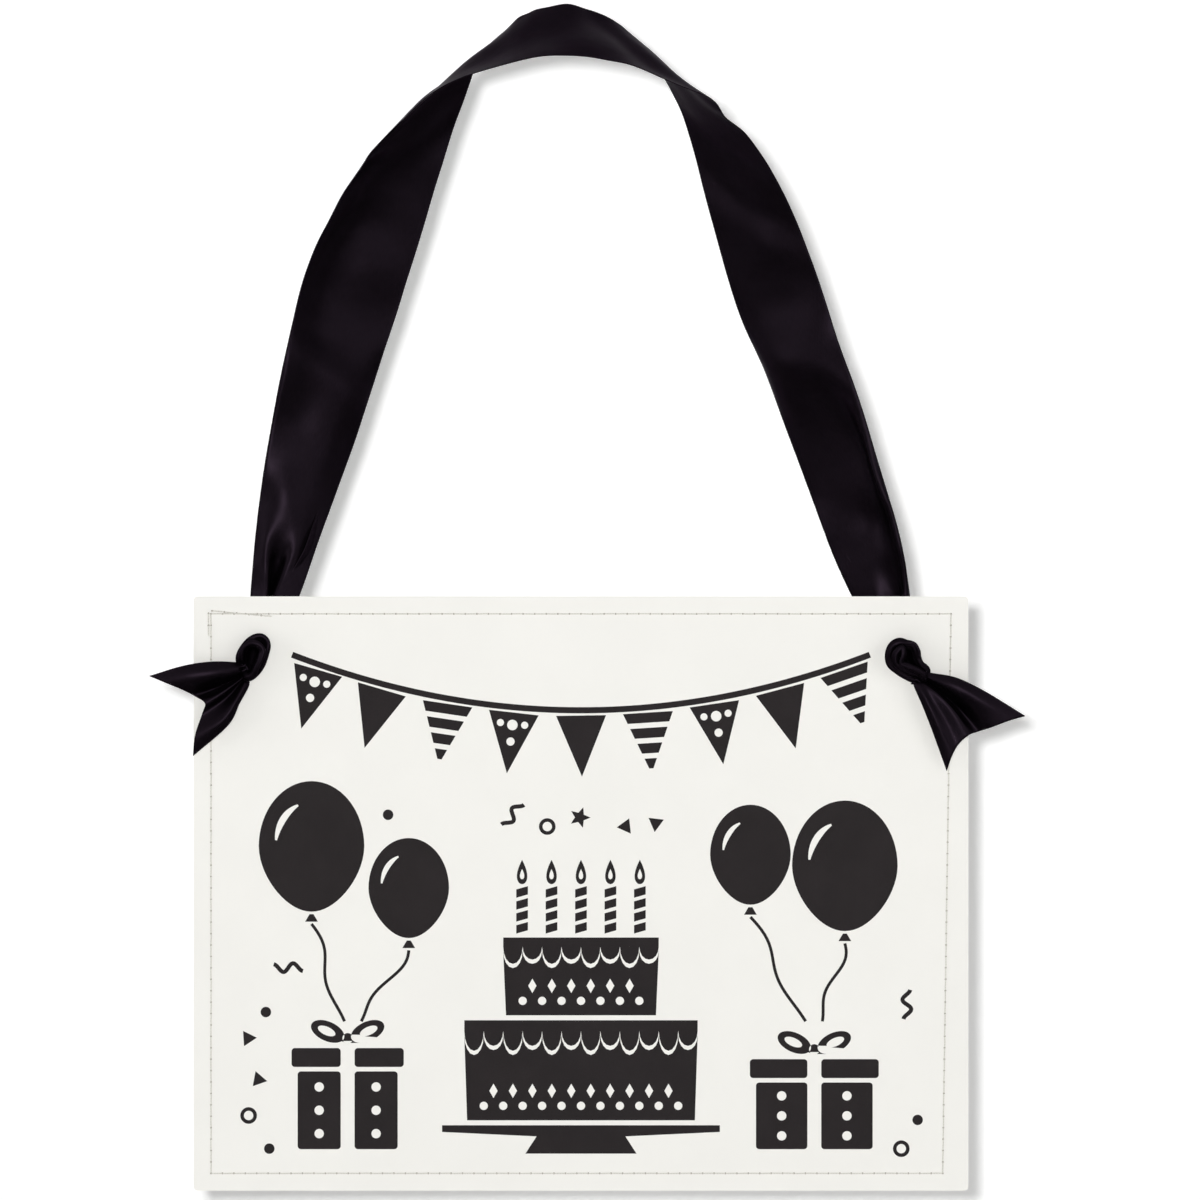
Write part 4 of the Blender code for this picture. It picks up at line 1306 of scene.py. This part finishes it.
def tier(u, low, width, height, count, drop):
    """One tier of the cake: icing, body, dots and diamonds."""
    top = low + height
    edge_top = top - drop * 0.35
    left, right = u - width / 2, u + width / 2
    icing = [(right, top), (left, top)] + scallops(u, edge_top, width, drop, count)
    body = [(left + 1.0, low), (right - 1.0, low)]
    body += scallops(u, edge_top - 1.5, width, drop, count)[::-1]
    shapes = [icing, body]
    each = width / count
    for k in range(count - 1):
        x = u + (k - (count - 2) / 2) * each
        shapes.append(dot(x, low + 5.2, 1.5))
        if k < count - 2:
            shapes.append(moved(diamond(1.5, 2.6), x + each / 2, low + 10.6))
    return shapes


def candle(x, base):
    """A striped candle with its flame."""
    stripe = [(-2.1, 0.0), (2.1, 1.2), (2.1, 4.2), (-2.1, 3.0)]
    shapes = [moved(stripe, x, base + j * 4.3) for j in range(4)]
    shapes.append(flame(x, base + 19.8))
    shapes.append(moved(flame(0.0, 0.0), x, base + 20.4, 0.0, 0.42))
    return shapes


def cake(u, base):
    """A two-tier cake on its stand, with five candles."""
    stand = [
        (-50, 4.6), (50, 4.6), (50, 2.2), (16, 0.6), (20, -5.6), (-20, -5.6), (-16, 0.6), (-50, 2.2)]
    shapes = [moved(stand, u, base)]
    shapes += tier(u, base + 6.4, 84.0, 36.0, 12, 11.0)
    shapes += tier(u, base + 44.2, 56.0, 28.0, 8, 9.5)
    for k in range(5):
        shapes += candle(u + (k - 2) * 10.6, base + 44.2 + 28.0 + 1.4)
    return shapes


def confetti(blocked):
    """Loose confetti over the free places, the same on every run."""
    chance = random.Random(23)
    shapes = []
    for row in range(-7, 8):
        for column in range(-9, 10):
            u = (column + (0.5 if row % 2 else 0.0)) * CONFETTI_PITCH + chance.uniform(-3.0, 3.0)
            v = row * CONFETTI_PITCH + chance.uniform(-3.0, 3.0)
            kind = chance.choice(("dot", "ring", "star", "streamer", "triangle", "dot"))
            turn = chance.uniform(0.0, 2 * math.pi)
            if abs(u) > 122.0 or abs(v) > 93.0:
                continue
            if any(u0 - 6 < u < u1 + 6 and v0 - 6 < v < v1 + 6 for u0, v0, u1, v1 in blocked):
                continue
            if kind == "dot":
                shapes.append(dot(u, v, 1.9))
            elif kind == "ring":
                shapes += [dot(u, v, 3.0, 28), dot(u, v, 1.7, 24)]
            else:
                forms = {"star": star(3.9), "streamer": streamer(), "triangle": star(3.2, 3, 0.5)}
                shapes.append(moved(forms[kind], u, v, turn))
    return shapes


def garland_line():
    """The garland's sagging cord, in mm from the card's middle."""
    return [(104.0 * x, 86.0 - 20.0 * (1 - x * x)) for x in np.linspace(-1.0, 1.0, 64)]


# Balloons: middle, half width and height, and the end of the string; gifts: middle and size;
# and the boxes, from low left to high right, that confetti keeps out of. All in mm from the
# card's middle.
BALLOONS = [
    (-97.0, 17.0, 19.0, 23.5, (-86.0, -46.0)), (-62.0, 2.0, 14.5, 18.0, (-80.0, -46.0)),
    (95.0, 10.0, 19.0, 23.5, (86.0, -46.0)), (61.0, 14.0, 14.5, 18.0, (80.0, -46.0)),
]
GIFTS = [(-84.0, -78.0, 36.0, 28.0), (84.0, -80.0, 42.0, 24.0)]
TAKEN = [
    (-52, -96, 52, -5), (-34, -10, 34, 12), (-118, -16, -76, 42), (-80, -24, -46, 22),
    (-106, -96, -62, -38), (-96, -46, -70, -10), (62, -96, 108, -38), (74, -22, 116, 36),
    (45, -12, 77, 34), (70, -46, 98, -10), (-110, 38, 110, 96), (-130, 30, -100, 96),
    (100, 30, 130, 96),
]


def motif():
    """All printed outlines except the pennants, in mm from the card's middle."""
    shapes = [strip(garland_line(), 2.2)] + cake(0.0, -88.0)
    for place in BALLOONS:
        shapes += balloon(*place)
    for place in GIFTS:
        shapes += gift(*place)
    return shapes + confetti(TAKEN)


def ink_mesh(name, outlines, height):
    """Outlines filled as thin closed ink, where an outline inside another is left bare."""
    curve = bpy.data.curves.new(name, "CURVE")
    curve.dimensions = "2D"
    curve.fill_mode = "BOTH"
    curve.extrude = height / 2
    for outline in outlines:
        spline = curve.splines.new("POLY")
        spline.points.add(len(outline) - 1)
        spline.use_cyclic_u = True
        for point, (u, v) in zip(spline.points, outline):
            point.co = (u * MM, v * MM, 0.0, 1.0)
    return plain_mesh(name, add_piece(name + "_drawing", curve))


def onto_card(data, height):
    """Stand a drawing up on the card's printed face."""
    place = Matrix.Translation((CARD_MIDDLE.x, FRONT_FACE - height / 2 + INK_SUNK, CARD_MIDDLE.z))
    data.transform(place @ Matrix.Rotation(math.radians(90.0), 4, "X"))


def pennant_forms(settings):
    """Three pennant patterns, hung from their top edge."""
    half, drop, top = settings.pennant_width / MM / 2, settings.pennant_drop / MM, -1.9
    outer = [(-half, top), (half, top), (0.0, -drop + top)]
    rings = [
        dot(0.0, -6.4, 1.9, 24), dot(-4.4, -6.0, 1.3), dot(4.4, -6.0, 1.3), dot(0.0, -12.4, 1.5)]
    stripes = []
    for k in range(4):
        start, end = k * 0.25, k * 0.25 + 0.165
        wide, narrow = half * (1 - start), half * (1 - end)
        stripes.append([
            (-wide, top - drop * start), (wide, top - drop * start),
            (narrow, top - drop * end), (-narrow, top - drop * end)])
    forms = {
        "pennant_a_dotted": [outer] + rings, "pennant_b_plain": [outer],
        "pennant_c_striped": stripes}
    box = bpy.data.collections.new("pennant_forms")
    for name, outlines in forms.items():
        form = bpy.data.objects.new(name, ink_mesh(name, outlines, settings.ink_height))
        box.objects.link(form)
    return box


def pennant_tree():
    """Pennants hung along the garland's cord, in turn from the given patterns."""
    tree, value, sink = growing_tree("garland_pennants", 4, [
        ("Count", "Int", 9), ("Patterns", "Collection", None), ("Swing", "Float", 0.04)])
    line = even_points(tree, value["Geometry"], "Count", value["Count"])
    patterns = add_node(tree, "GeometryNodeCollectionInfo", {
        "Collection": value["Patterns"], "Separate Children": True})
    index = add_node(tree, "GeometryNodeInputIndex").outputs["Index"]
    turned_copies(
        tree, value, sink, line, patterns.outputs["Instances"], (0.0, 0.0, 1.0), value["Swing"],
        {"Pick Instance": True, "Instance Index": index})
    return tree


# Operators

class SIGN_OT_card(bpy.types.Operator):
    """Give the two card sheets their uncoated finish"""

    bl_idname = "sign.card"
    bl_label = "Card Sheets"

    def execute(self, context):
        card = finishes()["card_stock_uncoated"]
        for name in ("front_card", "back_card"):
            node = frame["nodes"][name]
            if not node.material_slots:
                node.data.materials.append(card)
            for slot in node.material_slots:
                slot.material = card
        return {"FINISHED"}


class SIGN_OT_seam(bpy.types.Operator):
    """Sew the seam round the card with its stitches and needle holes"""

    bl_idname = "sign.seam"
    bl_label = "Seam"

    def execute(self, context):
        settings = context.scene.sign_card
        made = finishes()
        stitches = stitch_tree()
        holes = needle_hole_tree()
        faces = [
            ("needle", FRONT_FACE, -1.0, "needle_thread", 3),
            ("bobbin", BACK_FACE, 1.0, "bobbin_thread", 8),
        ]
        for side, face_y, outward, node, seed in faces:
            lift = outward * settings.thread_thickness * STITCH_LIFT
            sides = seam_runs(face_y + lift) + backstitch_runs(face_y + lift * BACKSTITCH_LIFT)
            values = {
                "Stitch Length": settings.stitch_length,
                "Thread Thickness": settings.thread_thickness,
                "Face Normal": (0.0, outward, 0.0),
                "Seed": seed}
            thread = grown_mesh(
                side + "_stitches", line_guide(side + "_line", sides), stitches, values,
                made["sewing_thread_cream"])
            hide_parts(node)
            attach(thread, "card")
            flat_y = face_y + outward * HOLE_LIFT
            flat = seam_runs(flat_y) + backstitch_runs(flat_y)
            values["Hole Width"] = settings.needle_hole
            # The needle holes are coloured with painted shade
            pierced = grown_mesh(
                side + "_holes", line_guide(side + "_hole_line", flat), holes, values,
                made["needle_hole_painted_shade"])
            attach(pierced, "card")
        return {"FINISHED"}


class SIGN_OT_print(bpy.types.Operator):
    """Print the party motif on the card's front"""

    bl_idname = "sign.print"
    bl_label = "Print"

    def execute(self, context):
        settings = context.scene.sign_print
        ink = finishes()["print_ink"]
        drawing = ink_mesh("party_print", motif(), settings.ink_height)
        onto_card(drawing, settings.ink_height)
        party_print = add_piece("party_print", drawing, ink)
        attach(party_print, "card")

        forms = pennant_forms(settings)
        line = [(u * MM, v * MM, 0.0) for u, v in garland_line()]
        run = lengths_along(np.array(line))
        inner = [p for p, d in zip(line, run) if GARLAND_END < d < run[-1] - GARLAND_END]
        cord = [line[GARLAND_SKIPPED], *inner, line[-1 - GARLAND_SKIPPED]]
        pennants = grown_mesh(
            "garland_pennants", line_guide("garland_cord", [cord]), pennant_tree(),
            {"Count": settings.pennants, "Patterns": forms}, ink)
        onto_card(pennants.data, settings.ink_height)
        for form in list(forms.objects):
            bpy.data.objects.remove(form, do_unlink=True)
        bpy.data.collections.remove(forms)
        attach(pennants, "card")
        return {"FINISHED"}


class SIGN_OT_loop(bpy.types.Operator):
    """Hang the satin loop from the hook to both holes"""

    bl_idname = "sign.loop"
    bl_label = "Ribbon Loop"

    def execute(self, context):
        settings = context.scene.sign_ribbon
        grid, along = loop_grid(settings)
        loop = cloth_piece(
            "satin_loop", grid, along, finishes()["satin_near_black"], settings.thickness)
        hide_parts("ribbon_hanger")
        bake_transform(loop)
        return {"FINISHED"}


def tie_knot(side, hole_x, run, settings):
    """One stopper knot on the front of its hole."""
    satin = finishes()["satin_near_black"]
    grid, along = knot_grid(hole_x, run, settings)
    knot = cloth_piece(side + "_stopper_knot", grid, along, satin, settings.thickness)
    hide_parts(side + "_knot")
    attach(knot, "card")
    return knot


def open_tail(side, hole_x, lines, settings):
    """One swallow-tail end, which bends where it leaves its knot."""
    satin = finishes()["satin_near_black"]
    grid = tail_grid(hole_x, lines, settings)
    along = (lengths_along(grid[:, 0]) + lengths_along(grid[:, -1])) / 2
    tail = cloth_piece(side + "_ribbon_tail", grid, along, satin, settings.thickness)
    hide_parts(side + "_tail")
    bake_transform(tail)


class SIGN_OT_ends(bpy.types.Operator):
    """Tie both stopper knots and open the swallow-tail ends"""

    bl_idname = "sign.ends"
    bl_label = "Knots and Tails"

    def execute(self, context):
        settings = context.scene.sign_ribbon
        sides = [
            ("left", LEFT_HOLE_X, LEFT_KNOT_RUN, LEFT_TAIL_LINES),
            ("right", RIGHT_HOLE_X, RIGHT_KNOT_RUN, RIGHT_TAIL_LINES),
        ]
        for side, hole_x, run, lines in sides:
            knot = tie_knot(side, hole_x, run, settings)
            open_tail(side, hole_x, lines, settings)
        return {"FINISHED"}


def plane(name, corners, material):
    """A flat four-cornered sheet of stage."""
    data = bpy.data.meshes.new(name)
    data.from_pydata(corners, [], [(0, 1, 2, 3)])
    piece = add_piece(name, data, material)
    return piece


def background_rays(tree):
    """1 for rays that show the background: straight to the camera, by gloss or through glass."""
    paths = add_node(tree, "ShaderNodeLightPath").outputs
    seen = math_node(tree, "MAXIMUM", paths["Is Camera Ray"], paths["Is Glossy Ray"])
    return math_node(tree, "MAXIMUM", seen, paths["Is Transmission Ray"])


def wall_material():
    """White backdrop that is seen from its front only and keeps the sign's shadow."""
    tree = new_material("white_backdrop")
    colour = mix_colours(tree, background_rays(tree), (0.8, 0.8, 0.8), (1.22, 1.22, 1.22))
    plain = add_node(tree, "ShaderNodeBsdfDiffuse", {"Color": colour})
    clear = add_node(tree, "ShaderNodeBsdfTransparent")
    back = add_node(tree, "ShaderNodeNewGeometry").outputs["Backfacing"]
    mix = add_node(tree, "ShaderNodeMixShader", {
        0: back, 1: plain.outputs["BSDF"], 2: clear.outputs["BSDF"]})
    add_node(tree, "ShaderNodeOutputMaterial", {"Surface": mix.outputs["Shader"]})
    return bpy.data.materials["white_backdrop"]


def floor_material():
    """Plain pale floor."""
    tree = new_material("pale_floor")
    cloud = noise(tree, add_node(tree, "ShaderNodeTexCoord").outputs["Object"], 3.0, 2.0, 0.5)
    base = mix_colours(tree, cloud, (0.84, 0.84, 0.83), (0.88, 0.88, 0.87))
    surface(tree, {"Base Color": base, "Roughness": 0.9, "Specular IOR Level": 0.1})
    return bpy.data.materials["pale_floor"]


def studio_world():
    """A dim even light that shows white behind the stage."""
    world = bpy.data.worlds.new("studio")
    world.use_nodes = True
    tree = world.node_tree
    tree.nodes.clear()
    colour = mix_colours(tree, background_rays(tree), (0.10, 0.10, 0.10), (1.0, 1.0, 1.0))
    light = add_node(tree, "ShaderNodeBackground", {"Color": colour})
    add_node(tree, "ShaderNodeOutputWorld", {"Surface": light.outputs["Background"]})
    return world


def aimed_lamp(name, place, size, power):
    """A soft round lamp aimed at the sign's middle, unseen by the camera."""
    data = bpy.data.lights.new(name, "AREA")
    data.shape = "DISK"
    data.size = size
    data.energy = power
    lamp = add_piece(name, data)
    lamp.location = place
    lamp.rotation_euler = (VIEW_MIDDLE - Vector(place)).to_track_quat("-Z", "Y").to_euler()
    lamp.visible_camera = False


def level_camera(y):
    """The photograph's camera: level and straight ahead of the sign's middle."""
    data = bpy.data.cameras.new("camera")
    data.lens = CAMERA_LENS
    data.sensor_width = CAMERA_SENSOR
    camera = add_piece("camera", data)
    camera.location = (VIEW_MIDDLE.x, y, VIEW_MIDDLE.z)
    camera.rotation_euler = (math.radians(90.0), 0.0, 0.0)
    return camera


class SIGN_OT_stage(bpy.types.Operator):
    """Set up the backdrop, floor, lamps and camera"""

    bl_idname = "sign.stage"
    bl_label = "Stage"

    def execute(self, context):
        scene = context.scene
        settings = scene.sign_stage
        scene.view_settings.view_transform = "Standard"
        low, high = CARD_LOW.z - settings.floor_drop, STAGE_REACH
        far, wall_y = STAGE_REACH, settings.wall_distance
        wall = plane("backdrop", [
            (-far, wall_y, low), (far, wall_y, low), (far, wall_y, high), (-far, wall_y, high)],
            wall_material())
        wall.visible_shadow = False
        plane("floor", [
            (-far, -far, low), (far, -far, low), (far, far, low), (-far, far, low)],
            floor_material())
        face_y = FRONT_FACE - settings.camera_distance
        side = settings.side_power
        beside = (VIEW_MIDDLE.x + KEY_BESIDE[0], face_y, VIEW_MIDDLE.z + KEY_BESIDE[1])
        aimed_lamp("key", beside, KEY_SIZE, settings.key_power)
        aimed_lamp("left_softbox", *LEFT_SOFTBOX, side * LEFT_SOFTBOX_SHARE)
        aimed_lamp("right_softbox", *RIGHT_SOFTBOX, side)
        aimed_lamp("top_softbox", *TOP_SOFTBOX, settings.top_power)
        scene.world = studio_world()
        scene.camera = level_camera(face_y)
        return {"FINISHED"}


class SIGN_PT_panel(bpy.types.Panel):
    """Sidebar panel with the sign's sizes and steps"""

    bl_label = "Party Sign"
    bl_idname = "SIGN_PT_panel"
    bl_space_type = "VIEW_3D"
    bl_region_type = "UI"
    bl_category = "Party Sign"

    def draw(self, context):
        scene = context.scene
        parts = [
            (scene.sign_card, ("sign.card", "sign.seam")),
            (scene.sign_print, ("sign.print",)),
            (scene.sign_ribbon, ("sign.loop", "sign.ends")),
            (scene.sign_stage, ("sign.stage",)),
        ]
        for settings, steps in parts:
            box = self.layout.box()
            for step in steps:
                box.operator(step)
            for key in settings.__annotations__:
                box.prop(settings, key)


SETTINGS = [
    ("sign_ribbon", SignRibbonSettings), ("sign_card", SignCardSettings),
    ("sign_print", SignPrintSettings), ("sign_stage", SignStageSettings),
]
CLASSES = [
    SIGN_OT_card, SIGN_OT_seam, SIGN_OT_print, SIGN_OT_loop, SIGN_OT_ends, SIGN_OT_stage,
    SIGN_PT_panel,
]


def register():
    for name, group in SETTINGS:
        bpy.utils.register_class(group)
        setattr(bpy.types.Scene, name, PointerProperty(type=group))
    for item in CLASSES:
        bpy.utils.register_class(item)


def unregister():
    for item in reversed(CLASSES):
        bpy.utils.unregister_class(item)
    for name, group in reversed(SETTINGS):
        delattr(bpy.types.Scene, name)
        bpy.utils.unregister_class(group)


def main():
    register()
    steps = bpy.ops.sign
    for step in (steps.stage, steps.card, steps.seam, steps.print, steps.loop, steps.ends):
        step()


if __name__ == "__main__":
    main()
